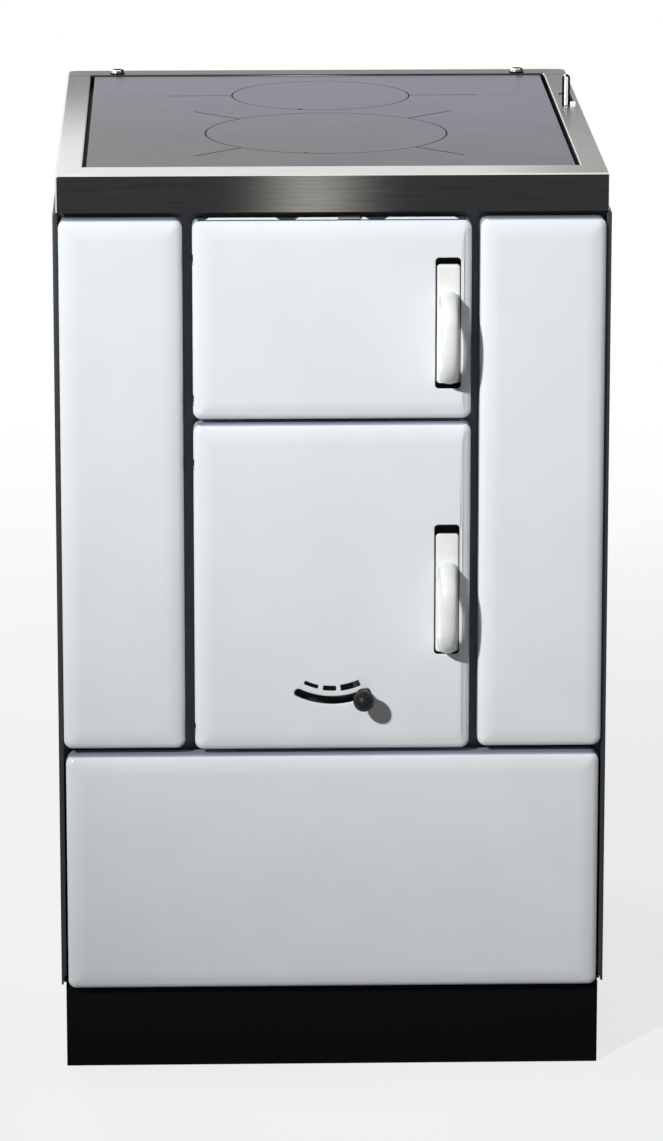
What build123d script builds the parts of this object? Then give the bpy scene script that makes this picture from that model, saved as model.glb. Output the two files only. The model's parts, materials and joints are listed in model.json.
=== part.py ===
from build123d import *
import math
import os

# Slim wood cookstove. Millimetres, Z up, X to the right, the front faces -Y.
# The origin is the middle of the footprint, on the floor.

# Outer sizes
WIDTH = 500.0
DEPTH = 600.0
HOB_Z = 850.0
HALF_W = WIDTH / 2
FRONT_Y = -DEPTH / 2
REAR_Y = DEPTH / 2
REACH_Y = 345.0

# Carcass
SIDE_T = 2.0
SIDE_OUT = HALF_W + 3.0
SIDE_IN = SIDE_OUT - SIDE_T
SIDE_FOLD = 4.6
FOLD_CUT = (1.5, 3.2, 8.5)  # slanted foot of the fold: left at the end, left above, height
SIDE_Z0, SIDE_Z1 = 83.0, 813.0
SIDE_Y = 296.0
PLINTH_H = 80.0
PLINTH_X = 249.0
PLINTH_FRONT_Y, PLINTH_REAR_Y = -288.0, 288.0
PLINTH_T = 3.0
BASE_Z = (PLINTH_H, PLINTH_H + 3.0)
FRAME_Y = (-270.0, -262.0)
FRAME_Z = (292.0, 830.0)
FRAME_TOP_X = 246.0
REAR_SHEET_Y = (286.0, 288.0)
BASE_FRONT_Y = -280.0
CLIP_HALF_W, CLIP_HALF_H = 30.0, 8.0
CLIP_Z = (340.0, 560.0, 780.0)

# Enamelled skins: doors, side panels and drawer front
FACE_Y = -306.0
SKIN_BACK_Y = -282.0
SKIN_T = 1.6
CORNER_R = 8.0
PILLOW_R = 5.0
PANEL_Z = (313.5, 809.0)
LEFT_PANEL_X = (-248.0, -136.0)
RIGHT_PANEL_X = (134.0, 248.0)
DOOR_X = (-127.0, 126.0)
FUEL_Z = (624.0, 808.0)
ASH_Z = (312.0, 619.5)
DRAWER_X = 246.5
DRAWER_Z = (81.0, 306.5)

# Hob
RIM_T = 3.0
RIM_H = 35.0
RIM_SKIRT_T = 2.0
RIM_IN_X = 226.5
RIM_IN_FRONT_Y = -258.5
RIM_JOINT_Y = 265.0
RIM_IN_REAR_Y = 269.5
PLATE_X = 222.5
PLATE_Y = (-254.5, 268.0)
PLATE_Z = (841.0, 848.5)
RING_GAP = 1.2
RING_STEP = 5.0
BIG_Y, BIG_R = -70.0, 113.0
SMALL_Y, SMALL_R = 148.0, 86.0
SLOT_LEN, SLOT_W = 62.0, 1.8
NOTCH_X, NOTCH_R = -22.0, 3.0
SUPPORT_Z = (830.0, 838.0)
SUPPORT_X, SUPPORT_IN_Y, SUPPORT_OUT_Y = (205.0, 230.0), (-235.0, 250.0), (-290.0, 290.0)
SEAL_X, SEAL_IN_Y, SEAL_OUT_Y = (208.0, 218.0), (-238.0, 252.0), (-250.0, 264.0)
BAR_GAP = 0.3
BOLT_X, BOLT_Y = 200.0, 279.0
HEAD_R, HEAD_H = 6.0, 3.0
WASHER_R, WASHER_T = 7.5, 1.2

# Firebox
WALL_X, WALL_FOOT_Z = (137.0, 140.0), 309.0
FIRE_X = 105.0
FIRE_Y = (-232.0, 40.0)
BRICK_FRONT_Y = -244.0
BRICK_REAR_Y = (66.0, 78.0)
BRICK_Z = (470.0, 800.0)
BRICK_REAR_TOP = 733.0
INNER_REAR_Y = (262.0, 265.0)
ASH_FLOOR_Z = (328.0, 331.0)
GRATE_Z = (456.0, 470.0)
GRATE_X = 80.0
GRATE_Y = (-175.0, 20.0)
GRATE_SLOT_X, GRATE_SLOT_Y = 8.0, 76.0
GRATE_COLUMNS, GRATE_COLUMN_PITCH = 9, 16.0
GRATE_ROWS, GRATE_ROW_PITCH = 2, 91.0
GRATE_ROD_R, GRATE_KNOB_R, GRATE_KNOB_Y = 4.0, 8.0, -258.0
GUARD_Z = (638.0, 650.0, 668.0)
ASH_BOX_X, ASH_BOX_Y, ASH_BOX_TOP = 76.0, (-254.0, 24.0), 398.0
BOW_HALF_W, BOW_OUT, ASH_BOW_Z, ASH_BOW_T = 32.0, 14.0, (362.0, 372.0), 3.0

# Door mouths in the front frame
MOUTH_X = 82.0
FUEL_MOUTH_Z = (654.0, 782.0)
ASH_MOUTH_Z = (331.0, 520.0)
SEAL_GAP, SEAL_W = 3.0, 8.0

# Door hinges
HINGE_X, HINGE_Y = -113.0, -290.0
PIN_R = 3.0
RUN = 0.05
KNUCKLE_R, KNUCKLE_H = 7.0, 18.0
BRACKET_T = 5.0
FUEL_HINGE_Z = (640.0, 770.0)
ASH_HINGE_Z = (330.0, 580.0)
DOOR_PLATE_Y = (-286.0, -276.0)
DOOR_PLATE_X = (-103.0, 121.0)
LUG_LEFT = 4.5
HINGE_NOTCH = (6.0, -301.0)
BOSS_X, BOSS_R = (-80.0, 72.0), 7.0

# Handles
HANDLE_X = 105.0
CUT_W = 22.6
PLATE_W = 21.0
FUEL_CUT_Z, FUEL_PLATE_Z = (652.8, 773.7), (657.5, 767.5)
ASH_CUT_Z, ASH_PLATE_Z = (402.9, 525.2), (404.8, 516.7)
CUT_R, PLATE_R, PLATE_T = 3.5, 3.0, 3.0
BOW_W, BOW_T, BOW_H = 17.0, 9.0, 83.0
HOOK_W, HOOK_H = 14.0, 14.0
HOOK_WINDOW_X = (97.0, 116.0)
KEEPER_H = 5.5
FUEL_LIFT, ASH_LIFT = 5.5, 7.0

# Air controls
AIR_Z = 431.0
AIR_R = 71.6
AIR_SLOT_W = 7.2
AIR_SWEEP = 26.0
AIR_REST = 23.0
MARK_R = 60.0
MARKS = ((-25.8, -12.8, 3.6), (-8.6, 3.0, 4.7), (6.9, 24.4, 5.9))
KNOB_R, KNOB_OUT, KNOB_NECK_R = 9.8, 24.0, 6.8
STEM_R, STEM_OUT = 3.0, 14.0
PORT_R, PORT_RING_R = 9.0, 30.0
PORT_ANGLES = (-60.0, 0.0, 60.0)
STUD_R, SHUTTER_R = 4.0, 42.0
TOP_SLOT_PITCH, TOP_SLOT_LEN = 81.0, 60.0
TOP_SLOT_X, TOP_SLOT_Y = -0.5, (-298.0, -288.0)
SLIDE_X, SLIDE_Y = (-84.5, 114.5), (-300.0, -287.0)
SLIDE_SLOT_X, SLIDE_SLOT_LEN, SLIDE_SLOT_Y = -7.0, 20.0, (-294.0, -289.0)
TAB_X, TAB_W = 15.0, 20.0

# Start-up damper
SHAFT_Y, SHAFT_Z, SHAFT_R = 76.0, 742.0, 5.0
LEVER_X, LEVER_R = 236.0, 4.0
LEVER_TOP = 880.0
LEVER_HUB_R = 9.0
LEVER_SLOT_X, LEVER_SLOT_FRONT_Y = (231.3, 244.6), 70.0
STOP_X, STOP_Y, STOP_H = (239.5, 244.5), (64.0, 69.5), 4.5
DAMPER_ANGLE = 30.0
DAMPER_FRAME_Y = (82.0, 85.8)
DAMPER_PORT_X, DAMPER_PORT_TOP = 92.0, 820.0
SIDE_PORT_X, SIDE_PORT_Z = (108.0, 128.0), (770.0, 815.0)
BUSH_R, BUSH_LEN = 11.0, 8.0
STRAP_X, STRAP_HALF_W = 60.0, 8.0

# Flue
FLUE_Z = 700.0
FLUE_R, FLUE_BORE_R = 59.0, 56.0
REAR_HOLE_GAP = 14.0
COLLAR_FLANGE_R, COLLAR_FLANGE_T = 77.0, 5.0

# Drawer
DRAWER_BOX_X, DRAWER_BOX_Z = 228.0, (95.0, 285.0)
DRAWER_BOX_REAR = 230.0
RUNNER_X, RUNNER_Y, RUNNER_LIP_H = 200.0, (-265.0, 250.0), 18.0
SHEET = 2.0

os.makedirs("parts", exist_ok=True)


def save(shape, name):
    """Write one node, as one solid or a group of solids."""
    export_step(shape, "parts/" + name + ".step")


def block(x, y, z):
    """Box between pairs of low and high coordinates."""
    box = Box(x[1] - x[0], y[1] - y[0], z[1] - z[0])
    return Pos((x[0] + x[1]) / 2, (y[0] + y[1]) / 2, (z[0] + z[1]) / 2) * box


def rod_x(x, y, z, r):
    """Cylinder along X between two ends."""
    return Pos((x[0] + x[1]) / 2, y, z) * Rot(0, 90, 0) * Cylinder(r, x[1] - x[0])


def rod_y(x, y, z, r):
    """Cylinder along Y between two ends."""
    return Pos(x, (y[0] + y[1]) / 2, z) * Rot(90, 0, 0) * Cylinder(r, y[1] - y[0])


def rod_z(x, y, z, r):
    """Cylinder along Z between two ends."""
    return Pos(x, y, (z[0] + z[1]) / 2) * Cylinder(r, z[1] - z[0])


def group(*shapes):
    """Separate solids that share a node."""
    return Compound(children=[solid for shape in shapes for solid in shape.solids()])


def mirrored(shape):
    """The shape and its mirror image across the middle of the stove."""
    return group(shape, mirror(shape, about=Plane.YZ))


def skin(x, z):
    """Enamelled front: a tray open at the back, with round corners and soft front edges."""
    solid = block(x, (FACE_Y, SKIN_BACK_Y), z)
    solid = fillet(solid.edges().filter_by(Axis.Y), CORNER_R)
    solid = fillet(solid.faces().sort_by(Axis.Y)[0].edges(), PILLOW_R)
    inner_x = (x[0] + SKIN_T, x[1] - SKIN_T)
    inner_z = (z[0] + SKIN_T, z[1] - SKIN_T)
    hollow = block(inner_x, (FACE_Y + SKIN_T, SKIN_BACK_Y + 1), inner_z)
    hollow = fillet(hollow.edges().filter_by(Axis.Y), CORNER_R - SKIN_T)
    hollow = fillet(hollow.faces().sort_by(Axis.Y)[0].edges(), PILLOW_R - SKIN_T)
    return solid - hollow


def upright_slot(x, z, y, r):
    """Rounded upright rectangle through the front, for a handle plate."""
    solid = block(x, y, z)
    return fillet(solid.edges().filter_by(Axis.Y), r)


def arc_slot(radius, width, start, end, y):
    """Bar bent along an arc below the air pivot, angles from straight down towards +X."""
    a, m, b = (math.radians(v) for v in (start, (start + end) / 2, end))
    points = [(radius * math.sin(v), AIR_Z - radius * math.cos(v)) for v in (a, m, b)]
    face = SlotArc(ThreePointArc(*points), width)
    return extrude(Plane.XZ.offset(-y[0]) * face, -(y[1] - y[0]))


def air_point(radius, angle):
    """Place on the air lever's circle, angle from straight down towards +X."""
    a = math.radians(angle)
    return radius * math.sin(a), AIR_Z - radius * math.cos(a)


# ---- carcass ----

def plinth():
    y0, y1 = PLINTH_FRONT_Y, PLINTH_REAR_Y
    z = (0.0, PLINTH_H)
    inner = PLINTH_X - PLINTH_T
    front = block((-PLINTH_X, PLINTH_X), (y0, y0 + PLINTH_T), z)
    rear = block((-PLINTH_X, PLINTH_X), (y1 - PLINTH_T, y1), z)
    side = block((inner, PLINTH_X), (y0 + PLINTH_T + 0.5, y1 - PLINTH_T - 0.5), z)
    return group(front, rear, side, mirror(side, about=Plane.YZ))


def side_sheet():
    sheet = block((SIDE_IN, SIDE_OUT), (-SIDE_Y, SIDE_Y), (SIDE_Z0, SIDE_Z1))
    fold = block((SIDE_OUT - SIDE_FOLD, SIDE_OUT), (-SIDE_Y, -SIDE_Y + SIDE_T), (SIDE_Z0, SIDE_Z1))
    foot, narrow, rise = FOLD_CUT
    inner, top = SIDE_OUT - SIDE_FOLD - 1, SIDE_Z0 + rise
    outline = [(inner, SIDE_Z0 - 1), (SIDE_OUT - foot, SIDE_Z0 - 1), (SIDE_OUT - narrow, top), (inner, top)]
    notch = make_face(Plane.XZ * Polyline(*outline, close=True))
    notch = extrude(Pos(0, -SIDE_Y - 1, 0) * notch, SIDE_T + 2, dir=(0, 1, 0))
    return sheet + fold - notch


def rear_panel():
    sheet = block((-SIDE_IN, SIDE_IN), REAR_SHEET_Y, (BASE_Z[1], SIDE_Z1))
    return sheet - rod_y(0, (REAR_SHEET_Y[0] - 1, REAR_SHEET_Y[1] + 1), FLUE_Z, FLUE_R + REAR_HOLE_GAP)


def front_frame():
    plate = block((-SIDE_IN, SIDE_IN), FRAME_Y, (FRAME_Z[0], SIDE_Z1))
    plate += block((-FRAME_TOP_X, FRAME_TOP_X), FRAME_Y, (SIDE_Z1, FRAME_Z[1]))
    through = (FRAME_Y[0] - 1, FRAME_Y[1] + 1)
    for mouth in (FUEL_MOUTH_Z, ASH_MOUTH_Z):
        plate -= block((-MOUTH_X, MOUTH_X), through, mouth)
    for hook, lift in ((hook_z(FUEL_PLATE_Z), FUEL_LIFT), (hook_z(ASH_PLATE_Z), ASH_LIFT)):
        plate -= block(HOOK_WINDOW_X, through, (hook - 6, hook + HOOK_H + lift + 1.5))
    return plate


def hook_z(plate_z):
    """Underside of a latch hook, from its handle plate."""
    return (plate_z[0] + plate_z[1]) / 2 - 12


def latch_keepers():
    bars = []
    for plate_z in (FUEL_PLATE_Z, ASH_PLATE_Z):
        top = hook_z(plate_z) - 0.5
        bars.append(block(HOOK_WINDOW_X, (FRAME_Y[0], FRAME_Y[1] + 4), (top - KEEPER_H, top)))
    return group(*bars)


def panel_clips():
    clips = []
    for low, high in (LEFT_PANEL_X, RIGHT_PANEL_X):
        span = ((low + high) / 2 - CLIP_HALF_W, (low + high) / 2 + CLIP_HALF_W)
        for z in CLIP_Z:
            height = (z - CLIP_HALF_H, z + CLIP_HALF_H)
            clips.append(block(span, (FACE_Y + SKIN_T, FRAME_Y[0]), height))
    return group(*clips)


def base_plate():
    return block((-SIDE_IN, SIDE_IN), (BASE_FRONT_Y, REAR_SHEET_Y[0]), BASE_Z)


# ---- hob ----

def top_rim():
    top = (HOB_Z - RIM_T, HOB_Z)
    skirt = (HOB_Z - RIM_H, HOB_Z)
    outer = block((-HALF_W, HALF_W), (FRONT_Y, RIM_JOINT_Y), skirt)
    outer = fillet(outer.edges().filter_by(Axis.Z).sort_by(Axis.Y)[:2], 2.0)
    under = block((-HALF_W + RIM_SKIRT_T, HALF_W - RIM_SKIRT_T),
                  (FRONT_Y + RIM_SKIRT_T, RIM_JOINT_Y + 1), (skirt[0] - 1, top[0]))
    rim = outer - under
    rim += rim_lip()
    rim -= block((-RIM_IN_X, RIM_IN_X), (RIM_IN_FRONT_Y, RIM_JOINT_Y + 1), (top[0] - 20, HOB_Z + 1))
    return rim - lever_slot()


def rim_lip():
    """Down-turned edge round the hob plate, standing on the support frame."""
    z = (SUPPORT_Z[1], HOB_Z - RIM_T)
    return block((-RIM_IN_X - 2, RIM_IN_X + 2), (RIM_IN_FRONT_Y - 2, RIM_JOINT_Y), z)


def lever_slot():
    rear = SHAFT_Y + (HOB_Z - SHAFT_Z) * math.tan(math.radians(DAMPER_ANGLE)) + 2 * LEVER_R
    return block(LEVER_SLOT_X, (LEVER_SLOT_FRONT_Y, rear), (HOB_Z - 10, HOB_Z + 1))


def lever_stop():
    """Small steel block on the rim, in front of the lever's slot."""
    return block(STOP_X, STOP_Y, (HOB_Z, HOB_Z + STOP_H))


def rim_rear_strip():
    strip = block((-HALF_W, HALF_W), (RIM_JOINT_Y + 0.4, REAR_Y), (HOB_Z - RIM_H, HOB_Z))
    strip -= block((-HALF_W + 2, HALF_W - 2), (RIM_JOINT_Y - 1, REAR_Y - 2), (0, HOB_Z - RIM_T))
    gap = block((-RIM_IN_X, RIM_IN_X), (RIM_JOINT_Y - 1, RIM_IN_REAR_Y), (HOB_Z - 20, HOB_Z + 1))
    return strip - gap


def rim_bolts():
    bolts = []
    for x in (-BOLT_X, BOLT_X):
        head = Pos(x, BOLT_Y, HOB_Z + WASHER_T) * extrude(RegularPolygon(HEAD_R, 6), HEAD_H)
        bolts.append(rod_z(x, BOLT_Y, (HOB_Z, HOB_Z + WASHER_T), WASHER_R) + head)
    return group(*bolts)


def ring_hole(y, r):
    """Stepped hole that a cover disc drops into."""
    mid = (PLATE_Z[0] + PLATE_Z[1]) / 2
    upper = rod_z(0, y, (mid, PLATE_Z[1] + 1), r + RING_GAP)
    return upper + rod_z(0, y, (PLATE_Z[0] - 1, mid), r - RING_STEP + RING_GAP)


def expansion_slots():
    z = (PLATE_Z[0] - 1, PLATE_Z[1] + 1)
    slots = []
    for angle in (45, 135, 225, 315):
        bar = block((BIG_R - 1, BIG_R + SLOT_LEN), (-SLOT_W / 2, SLOT_W / 2), z)
        slots.append(Pos(0, BIG_Y, 0) * Rot(0, 0, angle) * bar)
    for x in ((SMALL_R - 1, SMALL_R + SLOT_LEN + 6), (-SMALL_R - SLOT_LEN - 6, -SMALL_R + 1)):
        slots.append(block(x, (SMALL_Y - SLOT_W / 2, SMALL_Y + SLOT_W / 2), z))
    return slots


def hob_plate():
    plate = block((-PLATE_X, PLATE_X), PLATE_Y, PLATE_Z)
    plate = fillet(plate.edges().filter_by(Axis.Z), 3.0)
    plate -= ring_hole(BIG_Y, BIG_R)
    plate -= ring_hole(SMALL_Y, SMALL_R)
    for slot in expansion_slots():
        plate -= slot
    return plate


def cover(y, r):
    """Lift-out disc with a small notch at the front for the lifting hook."""
    mid = (PLATE_Z[0] + PLATE_Z[1]) / 2
    disc = rod_z(0, y, (mid, PLATE_Z[1]), r) + rod_z(0, y, (PLATE_Z[0], mid), r - RING_STEP)
    notch_y = y - math.sqrt(r * r - NOTCH_X * NOTCH_X)
    return disc - rod_z(NOTCH_X, notch_y, (mid + 1, PLATE_Z[1] + 1), NOTCH_R)


def ring_of_bars(x, y_in, y_out, z):
    """Four straight bars round a rectangle, a hair apart at the corners."""
    side = block(x, y_in, z)
    front = block((-x[1], x[1]), (y_out[0], y_in[0] - BAR_GAP), z)
    rear = block((-x[1], x[1]), (y_in[1] + BAR_GAP, y_out[1]), z)
    return group(side, mirror(side, about=Plane.YZ), front, rear)


def hob_support_frame():
    return ring_of_bars(SUPPORT_X, SUPPORT_IN_Y, SUPPORT_OUT_Y, SUPPORT_Z)


def hob_seal():
    return ring_of_bars(SEAL_X, SEAL_IN_Y, SEAL_OUT_Y, (SUPPORT_Z[1], PLATE_Z[0]))


# ---- firebox ----

def inner_walls():
    return mirrored(block(WALL_X, (FRAME_Y[1], INNER_REAR_Y[0]), (WALL_FOOT_Z, SUPPORT_Z[0])))


def right_shaft_hole():
    return rod_x((WALL_X[0] - 1, WALL_X[1] + 1), SHAFT_Y, SHAFT_Z, SHAFT_R + 3)


def inner_rear_wall():
    wall = block((-WALL_X[1], WALL_X[1]), INNER_REAR_Y, (WALL_FOOT_Z, SUPPORT_Z[0]))
    return wall - rod_y(0, (INNER_REAR_Y[0] - 1, INNER_REAR_Y[1] + 1), FLUE_Z, FLUE_BORE_R)


def ash_floor():
    return block((-WALL_X[0], WALL_X[0]), (FRAME_Y[1], INNER_REAR_Y[0]), ASH_FLOOR_Z)


def side_brick():
    brick = block((FIRE_X, WALL_X[0]), (BRICK_FRONT_Y, BRICK_REAR_Y[1]), BRICK_Z)
    return brick - rod_x((FIRE_X - 1, WALL_X[0] + 1), SHAFT_Y, SHAFT_Z, SHAFT_R + 4)


def rear_brick():
    return block((-FIRE_X, FIRE_X), (FIRE_Y[1], BRICK_REAR_Y[0]), (BRICK_Z[0], BRICK_REAR_TOP))


def front_brick():
    return block((-FIRE_X, FIRE_X), (FRAME_Y[1], FIRE_Y[0]), (ASH_MOUTH_Z[1] + 2, GUARD_Z[0]))


def log_guard():
    """Casting over the front brick, with a ledge that keeps logs off the door."""
    guard = block((-FIRE_X, FIRE_X), (FRAME_Y[1], FIRE_Y[0] + 2), GUARD_Z[:2])
    return guard + block((-FIRE_X, FIRE_X), (FIRE_Y[0] - 4, FIRE_Y[0] + 2), GUARD_Z[1:])


def grate_frame():
    """Cast surround of the grate: four bars, and ledges below that the grate slides on."""
    y_in, y_out = (GRATE_Y[0] - 4, GRATE_Y[1] + 24), (FIRE_Y[0], BRICK_REAR_Y[1])
    bars = ring_of_bars((GRATE_X + 4, WALL_X[0]), y_in, y_out, (GRATE_Z[0], BRICK_Z[0]))
    ledge = block((GRATE_X - 4, WALL_X[0]), y_out, (GRATE_Z[0] - 5, GRATE_Z[0] - BAR_GAP))
    return group(bars, mirrored(ledge))


def grate():
    slab = block((-GRATE_X, GRATE_X), GRATE_Y, GRATE_Z)
    slot = Box(GRATE_SLOT_X, GRATE_SLOT_Y, GRATE_Z[1] - GRATE_Z[0] + 2)
    middle = (GRATE_Y[0] + GRATE_Y[1]) / 2
    for row in range(GRATE_ROWS):
        y = middle + (row - (GRATE_ROWS - 1) / 2) * GRATE_ROW_PITCH
        for column in range(GRATE_COLUMNS):
            x = (column - (GRATE_COLUMNS - 1) / 2) * GRATE_COLUMN_PITCH
            slab -= Pos(x, y, (GRATE_Z[0] + GRATE_Z[1]) / 2) * slot
    return slab


def grate_rod():
    """Shaker rod under the grate, with a ball at the front to pull and push it by."""
    z = GRATE_Z[0] - 6
    rod = rod_y(0, (GRATE_KNOB_Y, GRATE_Y[0] + 8), z, GRATE_ROD_R)
    lug = block((-6, 6), (GRATE_Y[0] + 2, GRATE_Y[0] + 10), (z - GRATE_ROD_R, GRATE_Z[0]))
    return rod + lug + Pos(0, GRATE_KNOB_Y, z) * Sphere(GRATE_KNOB_R)


def sheet_box(x, y, z):
    """Sheet-metal box, open on top."""
    inside = block((x[0] + SHEET, x[1] - SHEET), (y[0] + SHEET, y[1] - SHEET), (z[0] + SHEET, z[1] + 1))
    return block(x, y, z) - inside


def ash_box():
    return sheet_box((-ASH_BOX_X, ASH_BOX_X), ASH_BOX_Y, (ASH_FLOOR_Z[1], ASH_BOX_TOP))


def ash_box_bow():
    """Flat steel bow on the front of the ash box."""
    y = (ASH_BOX_Y[0] - BOW_OUT, ASH_BOX_Y[0])
    inner = BOW_HALF_W - ASH_BOW_T
    bow = block((-BOW_HALF_W, BOW_HALF_W), y, ASH_BOW_Z)
    return bow - block((-inner, inner), (y[0] + ASH_BOW_T, y[1] + 1), (ASH_BOW_Z[0] - 1, ASH_BOW_Z[1] + 1))


# ---- damper and flue ----

def damper_frame():
    """Plate across the top of the rear brick: a wide port for the flap and two side ports."""
    plate = block((-WALL_X[0], WALL_X[0]), DAMPER_FRAME_Y, (BRICK_REAR_TOP, SUPPORT_Z[0]))
    through = (DAMPER_FRAME_Y[0] - 1, DAMPER_FRAME_Y[1] + 1)
    plate -= block((-DAMPER_PORT_X, DAMPER_PORT_X), through, (BRICK_REAR_TOP - 1, DAMPER_PORT_TOP))
    side_port = block(SIDE_PORT_X, through, SIDE_PORT_Z)
    return plate - side_port - mirror(side_port, about=Plane.YZ)


def damper_bushes():
    x = (WALL_X[1], WALL_X[1] + BUSH_LEN)
    bore = rod_x((x[0] - 1, x[1] + 1), SHAFT_Y, SHAFT_Z, SHAFT_R + RUN)
    return mirrored(rod_x(x, SHAFT_Y, SHAFT_Z, BUSH_R) - bore)


def damper_shaft():
    return rod_x((-152, LEVER_X - LEVER_R), SHAFT_Y, SHAFT_Z, SHAFT_R)


def damper_flap():
    """Flap just behind its frame, on two straps that clamp the shaft."""
    y = (DAMPER_FRAME_Y[1] + 0.5, DAMPER_FRAME_Y[1] + 4.5)
    x = DAMPER_PORT_X + 4
    flap = block((-x, x), y, (SHAFT_Z + 8, DAMPER_PORT_TOP + 3))
    for strap_x in (-STRAP_X, STRAP_X):
        span = (strap_x - STRAP_HALF_W, strap_x + STRAP_HALF_W)
        flap += block(span, (SHAFT_Y, y[1]), (SHAFT_Z, SHAFT_Z + 16))
        flap += rod_x(span, SHAFT_Y, SHAFT_Z, SHAFT_R + 4)
    return flap - rod_x((-x, x), SHAFT_Y, SHAFT_Z, SHAFT_R + RUN)


def damper_lever():
    """Round rod with a domed top, on a hub at the end of the shaft."""
    dome_z = LEVER_TOP - LEVER_R
    rod = rod_z(LEVER_X, SHAFT_Y, (SHAFT_Z, dome_z), LEVER_R)
    rod += Pos(LEVER_X, SHAFT_Y, dome_z) * Sphere(LEVER_R)
    return rod + rod_x((LEVER_X - LEVER_R, LEVER_X + LEVER_R), SHAFT_Y, SHAFT_Z, LEVER_HUB_R)


def flue_collar():
    collar = rod_y(0, (INNER_REAR_Y[1], REACH_Y), FLUE_Z, FLUE_R)
    collar += rod_y(0, (INNER_REAR_Y[1], INNER_REAR_Y[1] + COLLAR_FLANGE_T), FLUE_Z, COLLAR_FLANGE_R)
    return collar - rod_y(0, (INNER_REAR_Y[1] - 1, REACH_Y + 1), FLUE_Z, FLUE_BORE_R)


# ---- doors ----

def hinge_bracket(z):
    """Lug welded to the front frame, its top face carrying a door knuckle."""
    span = (z, z + BRACKET_T)
    lug = block((HINGE_X - LUG_LEFT, HINGE_X + KNUCKLE_R), (HINGE_Y, FRAME_Y[0]), span)
    lug += rod_z(HINGE_X, HINGE_Y, span, KNUCKLE_R)
    return lug - rod_z(HINGE_X, HINGE_Y, (z - 1, z + BRACKET_T + 1), PIN_R + RUN)


def hinge_pin(z):
    top = z + BRACKET_T + KNUCKLE_H + 2
    return rod_z(HINGE_X, HINGE_Y, (z, top), PIN_R) + rod_z(HINGE_X, HINGE_Y, (z - 2, z), 5)


def knuckle(z):
    """Door half of a hinge: a bored barrel and the web that joins it to the inner plate."""
    span = (z + BRACKET_T + 0.3, z + BRACKET_T + KNUCKLE_H)
    web = block((HINGE_X, DOOR_PLATE_X[0] + 3), DOOR_PLATE_Y, span)
    return web + rod_z(HINGE_X, HINGE_Y, span, KNUCKLE_R)


def knuckle_bore(z):
    return rod_z(HINGE_X, HINGE_Y, (z, z + BRACKET_T + KNUCKLE_H + 1), PIN_R + RUN)


def door_skin(door_z, cut_z, hinge_z):
    door = skin(DOOR_X, door_z)
    cut_x = (HANDLE_X - CUT_W / 2, HANDLE_X + CUT_W / 2)
    door -= upright_slot(cut_x, cut_z, (FACE_Y - 1, FACE_Y + 4), CUT_R)
    notch_x, notch_y = (DOOR_X[0] - 1, DOOR_X[0] + HINGE_NOTCH[0]), (HINGE_NOTCH[1], SKIN_BACK_Y + 1)
    for z in hinge_z:
        door -= block(notch_x, notch_y, (z - 3, z + BRACKET_T + 2))
    return door


def door_inner(door_z, hinge_z, hook, lift):
    """Cast inner plate with knuckles, skin bosses and the guide window of the latch hook."""
    plate = block(DOOR_PLATE_X, DOOR_PLATE_Y, (door_z[0] + 4, door_z[1] - 4))
    for z in hinge_z:
        plate += knuckle(z)
        plate -= knuckle_bore(z)
    for x in BOSS_X:
        for z in (door_z[0] + 22, door_z[1] - 30):
            plate += rod_y(x, (FACE_Y + SKIN_T, DOOR_PLATE_Y[0]), z, BOSS_R)
    window_x = (HANDLE_X - HOOK_W / 2 - 0.4, HANDLE_X + HOOK_W / 2 + 0.4)
    window_z = (hook - 0.5, hook + HOOK_H + lift + 0.5)
    return plate - block(window_x, (DOOR_PLATE_Y[0] - 1, DOOR_PLATE_Y[1] + 1), window_z)


def door_seal(mouth_z):
    x_in, gap = MOUTH_X + SEAL_GAP, SEAL_GAP
    z_in = (mouth_z[0] - gap, mouth_z[1] + gap)
    y = (DOOR_PLATE_Y[1], FRAME_Y[0] - 0.4)
    side = block((x_in, x_in + SEAL_W), y, z_in)
    x_full = (-x_in - SEAL_W, x_in + SEAL_W)
    low = block(x_full, y, (z_in[0] - SEAL_W, z_in[0] - BAR_GAP))
    high = block(x_full, y, (z_in[1] + BAR_GAP, z_in[1] + SEAL_W))
    return group(side, mirror(side, about=Plane.YZ), low, high)


def handle_plate(plate_z):
    x = (HANDLE_X - PLATE_W / 2, HANDLE_X + PLATE_W / 2)
    plate = upright_slot(x, plate_z, (FACE_Y, FACE_Y + PLATE_T), PLATE_R)
    return fillet(plate.faces().sort_by(Axis.Y)[0].edges(), 1.0)


def handle_grip(plate_z):
    """D-shaped bow: a flattened bar on an arch that stands on the lower part of its plate."""
    low = plate_z[0] + 1.5
    high = low + BOW_H
    outer = -REACH_Y
    inner = outer + BOW_T
    side = Polyline((FACE_Y, low), (outer + 15, low), (outer, low + 28), (outer, high - 16),
                    (outer + 9, high), (FACE_Y, high), (FACE_Y, low))
    bow = extrude(Plane.YZ.offset(HANDLE_X - BOW_W / 2) * make_face(side), BOW_W)
    bow = fillet(bow.edges().filter_by(Axis.X).sort_by(Axis.Y)[:4], 9.0)
    hole = block((HANDLE_X - BOW_W, HANDLE_X + BOW_W), (inner, FACE_Y - 3.5), (low + 17, high - 11.5))
    hole = fillet(hole.edges().filter_by(Axis.X), 7.0)
    bow = bow - hole
    return fillet(bow.edges().filter_by(GeomType.LINE).filter_by(Axis.Z).group_by(Axis.Y)[0], 3.5)


def latch_hook(plate_z):
    """Arm from the handle plate back through the inner plate, notched over the keeper."""
    z = hook_z(plate_z)
    x = (HANDLE_X - HOOK_W / 2, HANDLE_X + HOOK_W / 2)
    arm = block(x, (FACE_Y + PLATE_T, FRAME_Y[1] + 12), (z, z + HOOK_H))
    return arm - block((x[0] - 1, x[1] + 1), (FRAME_Y[0] - 2, FRAME_Y[1] + 6), (z - 1, z + 5))


# ---- air controls ----

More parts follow.
